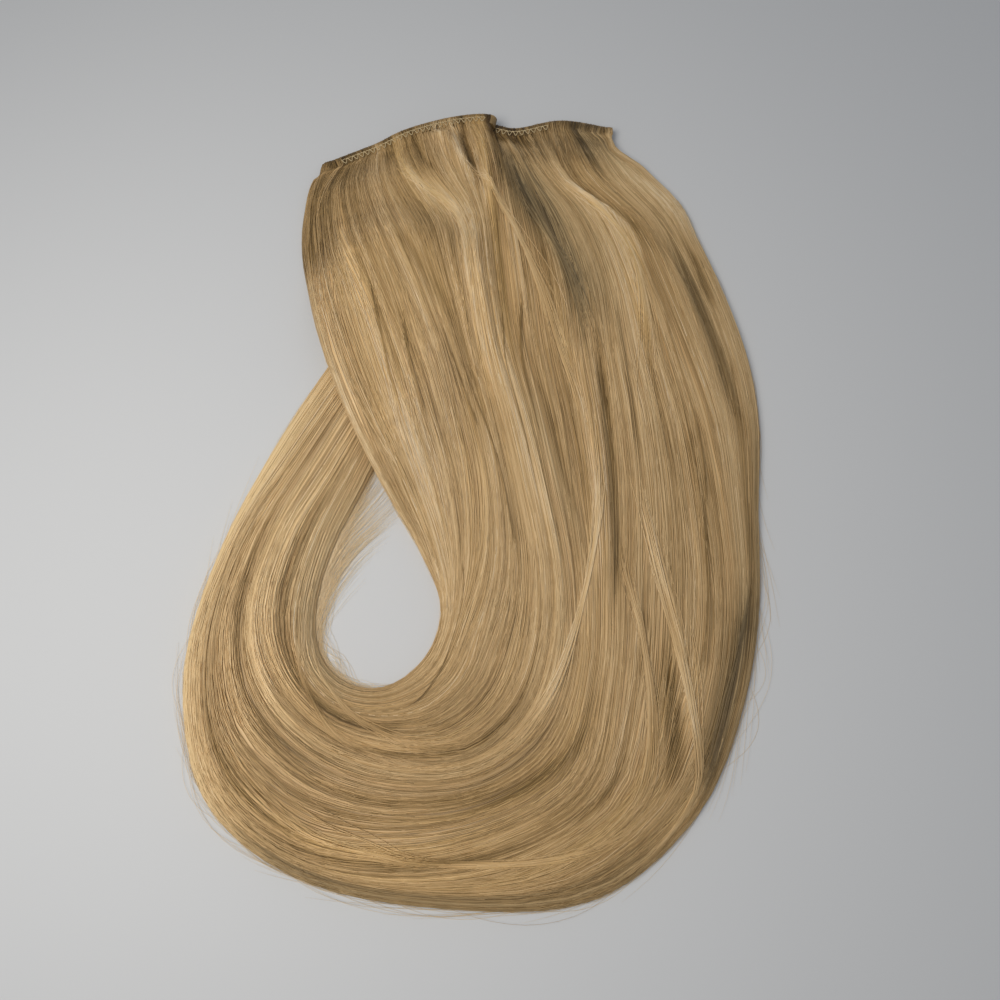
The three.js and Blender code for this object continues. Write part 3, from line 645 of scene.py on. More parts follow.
# Locks that cross the ones below them, through (along, across) shares; width in millimetres, and how many
# strands where it isn't the usual count
crossingRows = [
    {"line": [(-0.016, 0.012), (-0.008, 0.012), (0, 0.014), (0.05, 0.025), (0.1, 0.03)], "width": 1.6,
     "light": 0.03, "gold": 0},
    {"line": [(-0.016, 0.988), (-0.008, 0.988), (0, 0.986), (0.04, 0.98), (0.08, 0.98)], "width": 1.8,
     "light": 0.05, "gold": -0.1},
    {"line": [(-0.012, 0.275), (0.04, 0.262), (0.07, 0.3), (0.09, 0.322), (0.12, 0.33), (0.16, 0.342),
              (0.19, 0.337), (0.26, 0.315), (0.34, 0.31), (0.44, 0.29)], "width": 5.5, "light": 0.07,
     "gold": 0.3},
    {"line": [(0.03, 0.4), (0.06, 0.44), (0.09, 0.49), (0.12, 0.53), (0.15, 0.55), (0.19, 0.57),
              (0.26, 0.595), (0.32, 0.6)], "width": 2.2, "light": 0.08, "gold": 0},
    {"line": [(0.2, 0.635), (0.29, 0.62), (0.33, 0.615), (0.36, 0.6), (0.39, 0.565), (0.43, 0.505),
              (0.46, 0.475), (0.49, 0.445), (0.55, 0.42), (0.62, 0.41)], "width": 2.2, "light": 0.11,
     "gold": 0.15},
    {"line": [(0.04, 0.72), (0.06, 0.745), (0.09, 0.757), (0.11, 0.77), (0.13, 0.785), (0.15, 0.79),
              (0.18, 0.775), (0.22, 0.755), (0.26, 0.73), (0.34, 0.715)], "width": 4, "light": 0.08,
     "gold": 0.2},
    {"line": [(0.3, 0.685), (0.33, 0.695), (0.38, 0.72), (0.43, 0.757), (0.46, 0.785), (0.48, 0.815),
              (0.5, 0.86), (0.53, 0.92), (0.58, 0.94), (0.64, 0.945)], "width": 2.4, "light": 0.08,
     "gold": 0.1},
    {"line": [(0.35, 0.655), (0.38, 0.67), (0.41, 0.695), (0.45, 0.72), (0.49, 0.737), (0.55, 0.76)],
     "width": 1.7, "light": 0.01, "gold": 0},
    {"line": [(0.78, 0.04), (0.73, 0.07), (0.67, 0.16), (0.64, 0.24), (0.6, 0.31), (0.56, 0.335),
              (0.5, 0.345)], "width": 2.6, "light": 0.06, "gold": 0},
    {"line": [(0.82, 0.19), (0.74, 0.205), (0.69, 0.275), (0.65, 0.36), (0.6, 0.4), (0.54, 0.41)],
     "width": 2.6, "light": 0.05, "gold": 0},
    {"line": [(0.28, 0.95), (0.34, 0.94), (0.38, 0.91), (0.41, 0.875), (0.44, 0.855), (0.47, 0.87),
              (0.5, 0.92), (0.53, 0.97)], "width": 4.5, "light": -0.08, "gold": -0.25},
    {"line": [(0.05, 0.545), (0.08, 0.58), (0.12, 0.595), (0.15, 0.61), (0.22, 0.63), (0.28, 0.63)],
     "width": 4.5, "light": -0.06, "gold": -0.3},
    {"line": [(0.07, 0.84), (0.12, 0.87), (0.17, 0.897), (0.22, 0.892), (0.3, 0.885), (0.36, 0.91)],
     "width": 2.6, "light": -0.08, "gold": -0.15},
    {"line": [(0.9, 0.645), (0.85, 0.63), (0.8, 0.61), (0.73, 0.605), (0.66, 0.6)], "width": 2.4,
     "light": 0.03, "gold": 0},
    {"line": [(0.49, 0.79), (0.53, 0.765), (0.57, 0.69), (0.62, 0.63), (0.69, 0.61), (0.76, 0.615)],
     "width": 2.2, "light": 0.1, "gold": 0.05},
    # thin strands painted dark, as painted shade in the gaps between the locks
    {"line": [(0.16, 0.093), (0.19, 0.085), (0.22, 0.08), (0.25, 0.075), (0.33, 0.07)], "width": 0.5,
     "light": -0.26, "gold": 0, "count": 9},
    {"line": [(0.18, 0.122), (0.22, 0.11), (0.24, 0.105), (0.28, 0.1), (0.33, 0.105)], "width": 0.5,
     "light": -0.26, "gold": 0, "count": 9},
    {"line": [(0.19, 0.175), (0.23, 0.175), (0.26, 0.19), (0.29, 0.205), (0.34, 0.235)], "width": 0.8,
     "light": -0.24, "gold": 0.1, "count": 12},
    {"line": [(0.17, 0.462), (0.2, 0.455), (0.24, 0.42), (0.28, 0.41), (0.34, 0.41)], "width": 0.6,
     "light": -0.26, "gold": 0, "count": 9},
    {"line": [(0.16, 0.525), (0.19, 0.525), (0.23, 0.505), (0.26, 0.5), (0.32, 0.495)], "width": 0.6,
     "light": -0.26, "gold": 0, "count": 9},
    {"line": [(0.22, 0.19), (0.26, 0.22), (0.31, 0.25), (0.36, 0.265), (0.41, 0.287)], "width": 0.6,
     "light": -0.22, "gold": 0, "count": 9},
    {"line": [(0.2, 0.56), (0.24, 0.56), (0.28, 0.56), (0.33, 0.555), (0.38, 0.545)], "width": 0.5,
     "light": -0.18, "gold": 0, "count": 9},
    {"line": [(0.17, 0.822), (0.22, 0.81), (0.26, 0.805), (0.3, 0.805), (0.36, 0.79)], "width": 0.6,
     "light": -0.24, "gold": 0, "count": 9},
    {"line": [(0.31, 0.797), (0.37, 0.785), (0.42, 0.785), (0.45, 0.785)], "width": 0.5, "light": -0.24,
     "gold": 0, "count": 8},
    {"line": [(0.36, 0.11), (0.43, 0.14), (0.48, 0.15), (0.55, 0.195), (0.6, 0.21)], "width": 0.6,
     "light": -0.22, "gold": 0, "count": 9},
]
crossingSizes = {
    "count": 44,
    "points": 14,
    "smooth": 18,
    "girth": 0.34,
    "lift": (0.1, 0.7),
    "wrapLift": (0.1, 0.4),
    "endShare": 0.16,
    "endDepth": 1.3,
    "seed": 57,
}


def guideObject():
    # the hair's top surface with the weft's before it, mapped 0 to 1 across and along
    points, maps, lights, golds = [], [], [], []
    ends = 1 - smoothStep(np.minimum(across, 1 - across), 0, wrapEnds["share"])
    hang = ends * np.where(across < 0.5, *wrapEnds["past"])
    fromEnd = np.minimum(distance[0], distance[0, -1] - distance[0])

    def hung(part):
        # how far the hair hangs past the weft's ends there, and down
        fall = wrapEnds["drop"] * smoothStep(np.abs(hang) * part - fromEnd, 0, 3) - wrapEnds["rise"] * ends
        return np.column_stack([heading * (hang * part)[:, None], -fall])

    for place, offset, height, shade, part in wrapRows:
        wrapPoints = np.column_stack([rootLine + inward * offset, bandTop(across) + height])
        points.append((wrapPoints + hung(part)) * mm)
        maps.append(np.column_stack([across, np.full_like(across, place)]))
        lights.append(light[0] + shade)
        golds.append(gold[0])
    laid = topPoints + hung(1) * mm * (1 - smoothStep(along, 0, wrapEnds["length"]))[:, None, None]
    points = np.concatenate([np.array(points).reshape(-1, 3), laid.reshape(-1, 3)])
    laidMap = np.column_stack([acrossGrid.ravel(), alongGrid.ravel()])
    uv = np.concatenate([np.array(maps).reshape(-1, 2), laidMap])
    marks = {
        "light": np.concatenate([np.ravel(lights), light.ravel()]),
        "gold": np.concatenate([np.ravel(golds), gold.ravel()]),
    }
    faces = quadGrid(len(wrapRows) + rowCount + 1, gridSizes["columns"] + 1)
    return addMesh("strandGuide", points, faces, uv=uv, marks=marks)


def newTree(name, inputs):
    # a tree with named inputs, and the node that gives them
    tree = bpy.data.node_groups.new(name, "GeometryNodeTree")
    for inputName, kind in inputs.items():
        tree.interface.new_socket(inputName, in_out="INPUT", socket_type="NodeSocket" + kind)
    tree.interface.new_socket("Result", in_out="OUTPUT", socket_type="NodeSocketGeometry")
    return tree, addNode(tree, "NodeGroupInput").outputs


def finishTubes(tree, curves, radius, sides, material):
    # tubes along the curves, realized and given their material
    ringSizes = {"Resolution": sides, "Radius": 1.0}
    ring = addNode(tree, "GeometryNodeCurvePrimitiveCircle", ringSizes, mode="RADIUS")
    sweep = {"Curve": curves, "Profile Curve": ring, "Scale": radius, "Fill Caps": True}
    tubes = addNode(tree, "GeometryNodeCurveToMesh", sweep)
    smooth = addNode(tree, "GeometryNodeSetShadeSmooth", {"Geometry": tubes})
    whole = addNode(tree, "GeometryNodeRealizeInstances", {"Geometry": smooth})
    finished = addNode(tree, "GeometryNodeSetMaterial", {"Geometry": whole, "Material": material})
    addNode(tree, "NodeGroupOutput", {0: finished})


def layOnGuide(tree, curves, guideInput, u, v, height, own):
    # moves the curves' points to their places across and along the guide, with its tone there
    guide = addNode(tree, "GeometryNodeObjectInfo", {"Object": guideInput}).outputs["Geometry"]
    u = addNode(tree, "ShaderNodeClamp", {"Value": u, "Min": 0.003, "Max": 0.997})
    v = addNode(tree, "ShaderNodeClamp", {"Value": v, "Min": wrapRows[0][0] + 0.0001, "Max": 0.9995})
    place = addNode(tree, "ShaderNodeCombineXYZ", {0: u, 1: v})
    marked = "GeometryNodeInputNamedAttribute"
    guideMap = addNode(tree, marked, {"Name": "strands"}, data_type="FLOAT_VECTOR")
    sources = {
        "spot": (addNode(tree, "GeometryNodeInputPosition"), "FLOAT_VECTOR"),
        "normal": (addNode(tree, "GeometryNodeInputNormal"), "FLOAT_VECTOR"),
        "light": (addNode(tree, marked, {"Name": "light"}, data_type="FLOAT"), "FLOAT"),
        "gold": (addNode(tree, marked, {"Name": "gold"}, data_type="FLOAT"), "FLOAT"),
    }
    found = {}
    for name, (source, kind) in sources.items():
        sampling = {"Mesh": guide, "Value": source, "Source UV Map": guideMap, "Sample UV": place}
        found[name] = addNode(tree, "GeometryNodeSampleUVSurface", sampling, data_type=kind)
    # the tone is stored while the points are still at their places on the map
    for name, extra in (("light", own["shade"]), ("gold", own["warmth"])):
        value = addNode(tree, "ShaderNodeMath", {0: found[name], 1: extra}, operation="ADD")
        stored = {"Geometry": curves, "Name": name, "Value": value}
        curves = addNode(tree, "GeometryNodeStoreNamedAttribute", stored, data_type="FLOAT")
    offset = addNode(tree, "ShaderNodeVectorMath", {0: found["normal"], "Scale": height}, operation="SCALE")
    moved = addNode(tree, "ShaderNodeVectorMath", {0: found["spot"], 1: offset}, operation="ADD")
    return addNode(tree, "GeometryNodeSetPosition", {"Geometry": curves, "Position": moved})


def strandTree():
    inputs = {
        "Roots": "Geometry",
        "Guide": "Object",
        "Points": "Int",
        "Wander": "Float",
        "Bias": "Float",
        "Sink": "Float",
        "End Length": "Float",
        "Fibre": "Material",
    }
    tree, given = newTree("strandsOnGuide", inputs)
    line = addNode(tree, "GeometryNodeCurvePrimitiveLine")
    fine = addNode(tree, "GeometryNodeResampleCurve", {"Curve": line, "Count": given["Points"]})
    copies = addNode(tree, "GeometryNodeInstanceOnPoints", {"Points": given["Roots"], "Instance": fine})
    curves = addNode(tree, "GeometryNodeRealizeInstances", {"Geometry": copies})
    placing = ("across", "heart", "start", "reach", "drift", "number", "rooted")
    own = {
        name: addNode(tree, "GeometryNodeInputNamedAttribute", {"Name": name}, data_type="FLOAT")
        for name in placing + ("lift", "girth", "shade", "warmth")
    }
    factor = addNode(tree, "GeometryNodeSplineParameter").outputs["Factor"]
    factor = addNode(tree, "ShaderNodeMath", {0: factor, 1: given["Bias"]}, operation="POWER")
    reached = {0: own["reach"], 1: factor, 2: own["start"]}
    v = addNode(tree, "ShaderNodeMath", reached, operation="MULTIPLY_ADD")

    # the lock gathers and spreads along the hair, and each strand wanders and drifts in it
    lockPlace = addNode(tree, "ShaderNodeCombineXYZ", {0: own["heart"], 1: v})
    lockPlace = addNode(tree, "ShaderNodeVectorMath", {0: lockPlace, 1: (60, 7, 1)}, operation="MULTIPLY")
    lockInputs = {"Vector": lockPlace, "Scale": 1.0, "Detail": 0.0}
    lockNoise = addNode(tree, "ShaderNodeTexNoise", lockInputs, noise_dimensions="2D").outputs["Fac"]
    spreading = {"Value": lockNoise, "From Min": 0.3, "From Max": 0.7, "To Min": 0.35, "To Max": 1.35}
    gather = addNode(tree, "ShaderNodeMapRange", spreading)
    apart = addNode(tree, "ShaderNodeMath", {0: own["across"], 1: own["heart"]}, operation="SUBTRACT")
    u = addNode(tree, "ShaderNodeMath", {0: apart, 1: gather, 2: own["heart"]}, operation="MULTIPLY_ADD")
    waves = addNode(tree, "ShaderNodeMath", {0: v, 1: 9.0}, operation="MULTIPLY")
    ownPlace = addNode(tree, "ShaderNodeCombineXYZ", {0: own["number"], 1: waves})
    ownInputs = {"Vector": ownPlace, "Scale": 1.0, "Detail": 1.0}
    ownNoise = addNode(tree, "ShaderNodeTexNoise", ownInputs, noise_dimensions="2D").outputs["Fac"]
    sway = addNode(tree, "ShaderNodeMath", {0: ownNoise, 1: 0.5}, operation="SUBTRACT")
    u = addNode(tree, "ShaderNodeMath", {0: sway, 1: given["Wander"], 2: u}, operation="MULTIPLY_ADD")
    middle = addNode(tree, "ShaderNodeMath", {0: factor, 1: 0.5}, operation="SUBTRACT")
    u = addNode(tree, "ShaderNodeMath", {0: middle, 1: own["drift"], 2: u}, operation="MULTIPLY_ADD")

    # both ends sink into the mass, apart from one that starts at the weft, and the tube thins towards them
    fromStart = addNode(tree, "ShaderNodeMath", {0: factor, 1: own["reach"]}, operation="MULTIPLY")
    fromStart = addNode(tree, "ShaderNodeMath", {0: fromStart, 1: own["rooted"]}, operation="ADD")
    rest = addNode(tree, "ShaderNodeMath", {0: 1.0, 1: factor}, operation="SUBTRACT")
    fromTip = addNode(tree, "ShaderNodeMath", {0: rest, 1: own["reach"]}, operation="MULTIPLY")
    nearer = addNode(tree, "ShaderNodeMath", {0: fromStart, 1: fromTip}, operation="MINIMUM")
    down = addNode(tree, "ShaderNodeMath", {0: given["Sink"], 1: -1.0}, operation="MULTIPLY")
    sinking = {"Value": nearer, "From Max": given["End Length"], "To Min": down, "To Max": 0.0}
    sink = addNode(tree, "ShaderNodeMapRange", sinking, interpolation_type="SMOOTHSTEP")
    height = addNode(tree, "ShaderNodeMath", {0: sink, 1: own["lift"]}, operation="ADD")
    thinning = {"Value": nearer, "From Max": given["End Length"], "To Min": 0.3}
    taper = addNode(tree, "ShaderNodeMapRange", thinning)
    radius = addNode(tree, "ShaderNodeMath", {0: taper, 1: own["girth"]}, operation="MULTIPLY")
    laid = layOnGuide(tree, curves, given["Guide"], u, v, height, own)
    finishTubes(tree, laid, radius, 3, given["Fibre"])
    return tree


def crossingTree():
    # polylines drawn in the guide's own map, with the lift as their height, are laid on it
    inputs = {"Paths": "Geometry", "Guide": "Object", "Points": "Int", "Fibre": "Material"}
    tree, given = newTree("crossingLocks", inputs)
    curves = addNode(tree, "GeometryNodeMeshToCurve", {"Mesh": given["Paths"]})
    bent = addNode(tree, "GeometryNodeCurveSplineType", {"Curve": curves}, spline_type="CATMULL_ROM")
    fine = addNode(tree, "GeometryNodeResampleCurve", {"Curve": bent, "Count": given["Points"]})
    own = {
        name: addNode(tree, "GeometryNodeInputNamedAttribute", {"Name": name}, data_type="FLOAT")
        for name in ("girth", "shade", "warmth")
    }
    spot = addNode(tree, "ShaderNodeSeparateXYZ", {0: addNode(tree, "GeometryNodeInputPosition")}).outputs
    laid = layOnGuide(tree, fine, given["Guide"], spot[0], spot[1], spot[2], own)
    finishTubes(tree, laid, own["girth"], 3, given["Fibre"])
    return tree


def growMesh(obj, tree, name, values):
    # the tree's result as a plain mesh on an object of its own
    modifier = obj.modifiers.new("grow", "NODES")
    modifier.node_group = tree
    for socket in tree.interface.items_tree:
        if socket.in_out == "INPUT" and socket.name in values:
            modifier[socket.identifier] = values[socket.name]
    view = bpy.context.evaluated_depsgraph_get()
    grown = obj.evaluated_get(view)
    mesh = bpy.data.meshes.new_from_object(grown, preserve_all_data_layers=True, depsgraph=view)
    mesh.name = name
    bpy.data.objects.remove(obj)
    piece = bpy.data.objects.new(name, mesh)
    scene.collection.objects.link(piece)
    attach(piece, "root")
    mesh.calc_loop_triangles()
    print(name, len(mesh.loop_triangles), "triangles")
    return piece


def pathMesh(name, points, marks):
    # polylines of equally many points as one mesh of edges
    points = np.array(points)
    count, length = points.shape[:2]
    starts = (np.arange(count)[:, None] * length + np.arange(length - 1)).ravel()
    return addMesh(name, points.reshape(-1, 3), edges=np.column_stack([starts, starts + 1]), marks=marks)


def addStrands(name, facts, seed, guide, tree):
    chance = np.random.default_rng(seed)
    count = facts["count"]
    rooted = chance.random(count) < facts["rooted"]
    wrapping = facts["bias"] > 1
    spread = strandSizes["rootSpread" if wrapping else "spread"]
    # locks' middles stand a little closer at the hair's two edges
    hearts = chance.beta(0.8, 0.8, strandSizes["hearts"])
    heart = hearts[chance.integers(0, strandSizes["hearts"], count)]
    reach = chance.uniform(*facts["reach"], count)
    start = np.where(rooted, 0.0, chance.uniform(0, 1, count) * (1 - reach * 0.8))
    start = np.full(count, wrapRows[0][0]) if wrapping else start + chance.uniform(0.001, 0.012, count)
    marks = {
        "across": np.clip(heart + chance.normal(0, spread, count), 0.003, 0.997),
        "heart": heart,
        "start": start,
        "reach": np.minimum(reach, 1 - start),
        "drift": chance.normal(0, facts["drift"], count),
        "lift": chance.normal(0.1, 0.14, count).clip(-0.1, 0.5) * mm,
        "girth": facts["girth"] / 2 * mm * chance.uniform(0.65, 1.2, count),
        "shade": chance.normal(0, 0.095, count),
        "warmth": chance.normal(0, 0.1, count),
        "number": chance.uniform(0, 500, count),
        "rooted": np.full(count, float(wrapping)),
    }
    roots = addMesh(name + "Roots", np.zeros((count, 3)), marks=marks)
    values = {
        "Guide": guide,
        "Points": facts["points"],
        "Wander": strandSizes["wander"],
        "Bias": facts["bias"],
        "Sink": strandSizes["sink"] * mm,
        "End Length": strandSizes["endLength"],
        "Fibre": strandFibre,
    }
    return growMesh(roots, tree, name, values)


def crossingPaths():
    # strands of each crossing lock, drawn as (across, along, lift)
    chance = np.random.default_rng(crossingSizes["seed"])
    share = np.linspace(0, 1, crossingSizes["points"])
    points, marks = [], {"girth": [], "shade": [], "warmth": []}
    for row in crossingRows:
        line = np.array(row["line"])
        steps = np.linspace(0, 1, len(line))
        for _ in range(row.get("count", crossingSizes["count"])):
            first, last = chance.uniform(0, 0.25), chance.uniform(0.75, 1)
            first = 0.0 if line[0, 0] < 0 else first
            part = first + (last - first) * share
            v, u = np.interp(part, steps, line[:, 0]), np.interp(part, steps, line[:, 1])
            width = np.interp(v, along, distance[:, -1])
            aside = chance.normal(0, 0.75) * row["width"]
            aside = aside * (0.6 + 0.4 * np.cos(share * 5 + chance.uniform(0, 2)))
            sunk = 1 - smoothStep(np.minimum(share, 1 - share), 0, crossingSizes["endShare"])
            depth = chance.uniform(*crossingSizes["lift"]) - crossingSizes["endDepth"] * sunk
            overWeft = (line[0, 0] < 0) & (share < 0.4)
            depth = np.where(overWeft, chance.uniform(*crossingSizes["wrapLift"]), depth)
            points.append(np.column_stack([u + aside / width, v, depth * mm]))
            girth = crossingSizes["girth"] / 2 * mm * chance.uniform(0.7, 1.15)
            marks["girth"].append(np.full_like(share, girth))
            marks["shade"].append(np.full_like(share, row["light"] + chance.normal(0, 0.06)))
            marks["warmth"].append(np.full_like(share, row["gold"] + chance.normal(0, 0.08)))
    return pathMesh("crossingPaths", points, marks)


guide = guideObject()
layStrands = strandTree()
for order, (groupName, facts) in enumerate(strandGroups.items()):
    addStrands(groupName, facts, 100 + order, guide, layStrands)
crossingValues = {"Guide": guide, "Points": crossingSizes["smooth"], "Fibre": strandFibre}
growMesh(crossingPaths(), crossingTree(), "crossingLocks", crossingValues)
bpy.data.objects.remove(guide)
print("strands")


# Loose hairs beside the edges: along range, share of the length that each covers, how far out in
# millimetres, the share of them whose tip is free, and how light they are, partly their paler colour and
# partly painted light for light shining through such thin hairs
looseRows = [
    {"edge": "inner", "along": (0.54, 0.8), "reach": (0.1, 0.2), "out": (0, 3), "free": 0.2, "light": 0.35,
     "count": 200},
    {"edge": "inner", "along": (0.6, 0.74), "reach": (0.12, 0.18), "out": (1, 8), "free": 0.1, "light": 0.38,
     "count": 70},
    {"edge": "inner", "along": (0.69, 0.76), "reach": (0.12, 0.18), "out": (0, 20), "free": 1.0,
     "light": 0.5, "count": 340},
    {"edge": "inner", "along": (0.1, 0.5), "reach": (0.05, 0.15), "out": (0, 1), "free": 0.3, "light": 0.15,
     "count": 50},
    {"edge": "outer", "along": (0.02, 0.92), "reach": (0.05, 0.14), "out": (0, 1.5), "free": 0.3,
     "light": 0.2, "count": 190},
    {"edge": "outer", "along": (0.26, 0.44), "reach": (0.05, 0.12), "out": (2, 10), "free": 0.7,
     "light": 0.1, "count": 30},
    {"edge": "outer", "along": (0.5, 0.7), "reach": (0.06, 0.13), "out": (1, 5.5), "free": 0.5, "light": 0.2,
     "count": 48},
    {"edge": "outer", "along": (0.66, 0.8), "reach": (0.04, 0.09), "out": (1, 6), "free": 0.8, "light": 0.2,
     "count": 26},
]
looseSizes = {
    "points": 10,
    "smooth": 16,
    "sink": 2.5,
    "thickness": 0.095,
    "height": (0.2, 1.4),
    "gold": -0.6,
    "seed": 31,
}


def looseTree():
    tree, given = newTree("looseHairs", {"Paths": "Geometry", "Points": "Int", "Fibre": "Material"})
    curves = addNode(tree, "GeometryNodeMeshToCurve", {"Mesh": given["Paths"]})
    bent = addNode(tree, "GeometryNodeCurveSplineType", {"Curve": curves}, spline_type="CATMULL_ROM")
    fine = addNode(tree, "GeometryNodeResampleCurve", {"Curve": bent, "Count": given["Points"]})
    girth = addNode(tree, "GeometryNodeInputNamedAttribute", {"Name": "girth"}, data_type="FLOAT")
    finishTubes(tree, fine, girth, 3, given["Fibre"])
    return tree


def loosePaths():
    # a polyline for each loose hair, with its girth and tone at every point
    chance = np.random.default_rng(looseSizes["seed"])
    edges = {"inner": (plan[:, 0], -1), "outer": (plan[:, -1], 1)}
    share = np.linspace(0, 1, looseSizes["points"])
    points, marks = [], {"girth": [], "light": [], "gold": []}
    for row in looseRows:
        line, side = edges[row["edge"]]
        ahead = np.gradient(line, axis=0)
        ahead /= np.linalg.norm(ahead, axis=1, keepdims=True)
        outward = side * np.stack([-ahead[:, 1], ahead[:, 0]], -1)
        for _ in range(row["count"]):
            reach = chance.uniform(*row["reach"])
            first = chance.uniform(*row["along"])
            place = np.clip(first + reach * share, 0.002, 0.998)
            far = row["out"][0] + (row["out"][1] - row["out"][0]) * chance.random() ** 1.5
            free = chance.random() < row["free"]
            swell = share**1.6 if free else np.sin(np.pi * share) ** 1.3
            offset = -looseSizes["sink"] + (far + looseSizes["sink"]) * swell
            offset += chance.normal(0, 0.2) * np.sin(share * 7 + chance.uniform(0, 6))
            spot = np.stack([np.interp(place, along, line[:, k]) for k in range(2)], -1)
            away = np.stack([np.interp(place, along, outward[:, k]) for k in range(2)], -1)
            height = np.full_like(share, chance.uniform(*looseSizes["height"]))
            points.append(np.column_stack([spot + away * offset[:, None], height]) * mm)
            thinning = np.minimum(1, 0.3 + 3 * np.minimum(share, 1 - share))
            marks["girth"].append(looseSizes["thickness"] / 2 * mm * thinning)
            marks["light"].append(np.full_like(share, chance.normal(row["light"], 0.1)))
            marks["gold"].append(np.full_like(share, chance.normal(looseSizes["gold"], 0.15)))
    return pathMesh("loosePaths", points, marks)


looseValues = {"Points": looseSizes["smooth"], "Fibre": strandFibre}
growMesh(loosePaths(), looseTree(), "looseHairs", looseValues)
print("loose hairs")


# The weft: a band of packed strand ends, held by thread that zigzags over its lower edge
weftFinish = {"dark": "6b5634", "light": "a2875b", "strandPitch": 0.4, "strandLength": 5.0}
stitchedShares = [(0.05, 0.52), (0.55, 0.79)]
threadSizes = {
    "zigzagThread": {"pitch": 2.8, "swing": 1.1, "thread": 0.36, "inward": 1.4, "height": 0.75},
    "edgeThread": {"pitch": 1.4, "swing": 0.15, "thread": 0.3, "inward": 0.2, "height": 0.7},
}


def weftMaterial():
    # strand ends pressed and sewn flat: matt, darker than the hair, ribbed across the band
    made = bpy.data.materials.new("sewn strand ends")
    made.use_nodes = True
    tree = made.node_tree
    shader = tree.nodes["Principled BSDF"]
    place = addNode(tree, "ShaderNodeTexCoord").outputs["Object"]
    cells = (1 / (weftFinish["strandPitch"] * mm), 1 / (weftFinish["strandLength"] * mm), 200)
    stretched = addNode(tree, "ShaderNodeMapping", {"Vector": place, "Scale": cells})
    ribInputs = {"Vector": stretched, "Scale": 1.0, "Detail": 3.0}
    ribs = addNode(tree, "ShaderNodeTexNoise", ribInputs).outputs["Fac"]
    stops = [(0.3, weftFinish["dark"]), (0.7, weftFinish["light"])]
    colour = addNode(tree, "ShaderNodeValToRGB", {"Fac": ribs}, stops=stops)
    bump = addNode(tree, "ShaderNodeBump", {"Height": ribs, "Strength": 0.8, "Distance": 0.0005})
    tree.links.new(colour.outputs["Color"], shader.inputs["Base Color"])
    tree.links.new(bump.outputs["Normal"], shader.inputs["Normal"])
    shader.inputs["Roughness"].default_value = 0.6
    return made


def threadMaterial():
    # spun polyester thread: pale, softly glossy, with a fine twist
    made = bpy.data.materials.new("spun polyester thread")
    made.use_nodes = True
    tree = made.node_tree
    shader = tree.nodes["Principled BSDF"]
    place = addNode(tree, "ShaderNodeTexCoord").outputs["Object"]
    twist = addNode(tree, "ShaderNodeTexWave", {"Vector": place, "Scale": 900.0, "Distortion": 0.6},
                    bands_direction="DIAGONAL").outputs["Fac"]
    colour = addNode(tree, "ShaderNodeValToRGB", {"Fac": twist}, stops=[(0.0, "b9a275"), (1.0, "dfcba2")])
    bump = addNode(tree, "ShaderNodeBump", {"Height": twist, "Strength": 0.4, "Distance": 0.0001})
    tree.links.new(colour.outputs["Color"], shader.inputs["Base Color"])
    tree.links.new(bump.outputs["Normal"], shader.inputs["Normal"])
    shader.inputs["Roughness"].default_value = 0.5
    return made


def stitchTree():
    inputs = {
        "Path": "Geometry",
        "Pitch": "Float",
        "Swing": "Float",
        "Radius": "Float",
        "Thread": "Material",
    }
    tree, given = newTree("zigzagStitches", inputs)
    path = addNode(tree, "GeometryNodeMeshToCurve", {"Mesh": given["Path"]})
    halfPitch = addNode(tree, "ShaderNodeMath", {0: given["Pitch"], 1: 0.5}, operation="MULTIPLY")
    stepped = addNode(tree, "GeometryNodeResampleCurve", {"Curve": path, "Length": halfPitch}, mode="LENGTH")
    order = addNode(tree, "GeometryNodeInputIndex")
    odd = addNode(tree, "ShaderNodeMath", {0: order, 1: 2.0}, operation="MODULO")
    sway = addNode(tree, "ShaderNodeMath", {0: odd, 1: 2.0, 2: -1.0}, operation="MULTIPLY_ADD")
    far = addNode(tree, "ShaderNodeMath", {0: sway, 1: given["Swing"]}, operation="MULTIPLY")
    tangent = addNode(tree, "GeometryNodeInputTangent")
    side = addNode(tree, "ShaderNodeVectorMath", {0: tangent, 1: (0, 0, 1)}, operation="CROSS_PRODUCT")
    offset = addNode(tree, "ShaderNodeVectorMath", {0: side, "Scale": far}, operation="SCALE")
    swung = addNode(tree, "GeometryNodeSetPosition", {"Geometry": stepped, "Offset": offset})
    bent = addNode(tree, "GeometryNodeCurveSplineType", {"Curve": swung}, spline_type="CATMULL_ROM")
    fine = addNode(tree, "GeometryNodeSetSplineResolution", {"Geometry": bent, "Resolution": 4})
    finishTubes(tree, fine, given["Radius"], 6, given["Thread"])
    return tree


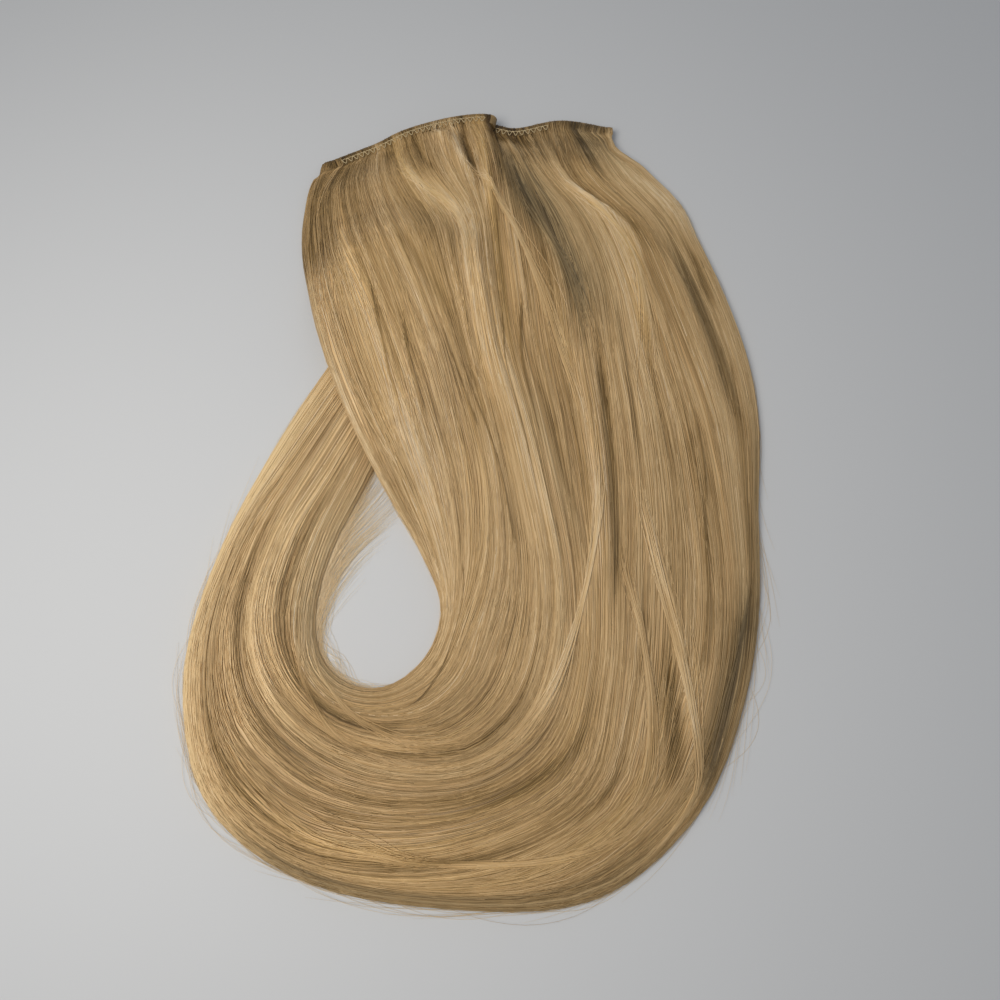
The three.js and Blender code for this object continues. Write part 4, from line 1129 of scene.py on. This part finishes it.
def threadPath(name, facts):
    # the weft's two stretches, one on each side of its fold, without the ends that the hair covers
    points, edges, count = [], [], 0
    for first, last in stitchedShares:
        columns = np.arange(round(first * gridSizes["columns"]), round(last * gridSizes["columns"]))
        spots = rootLine[columns] + inward[columns] * facts["inward"]
        points.append(np.column_stack([spots, bandTop(across[columns]) + facts["height"]]) * mm)
        places = count + np.arange(len(columns))
        edges.append(np.column_stack([places[:-1], places[1:]]))
        count += len(columns)
    return addMesh(name + "Path", np.concatenate(points), edges=np.concatenate(edges))


thread = threadMaterial()
zigzag = stitchTree()
for threadName, facts in threadSizes.items():
    values = {"Pitch": facts["pitch"] * mm, "Swing": facts["swing"] * mm, "Radius": facts["thread"] / 2 * mm,
              "Thread": thread}
    growMesh(threadPath(threadName, facts), zigzag, threadName, values)
print("weft threads")


def clipMaterial():
    # lacquered spring steel: a satin skin with faint specks where the lacquer lies thicker
    made = bpy.data.materials.new("lacquered spring steel")
    made.use_nodes = True
    tree = made.node_tree
    shader = tree.nodes["Principled BSDF"]
    place = addNode(tree, "ShaderNodeTexCoord").outputs["Object"]
    speckInputs = {"Vector": place, "Scale": 900.0, "Detail": 2.0}
    specks = addNode(tree, "ShaderNodeTexNoise", speckInputs).outputs["Fac"]
    colour = addNode(tree, "ShaderNodeValToRGB", {"Fac": specks}, stops=[(0.3, "7d6440"), (0.7, "9c8158")])
    bump = addNode(tree, "ShaderNodeBump", {"Height": specks, "Strength": 0.15, "Distance": 0.0002})
    tree.links.new(colour.outputs["Color"], shader.inputs["Base Color"])
    tree.links.new(bump.outputs["Normal"], shader.inputs["Normal"])
    shader.inputs["Roughness"].default_value = 0.35
    shader.inputs["Metallic"].default_value = 0.3
    return made


bandFibre, clipLacquer = weftMaterial(), clipMaterial()
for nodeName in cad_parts:
    if nodeName == "weft_band" or nodeName.startswith("snap_clip"):
        node = bpy.data.objects[nodeName]
        finish = bandFibre if nodeName == "weft_band" else clipLacquer
        for slot in node.material_slots:
            slot.material = finish
        print(nodeName, "material slots:", len(node.material_slots))
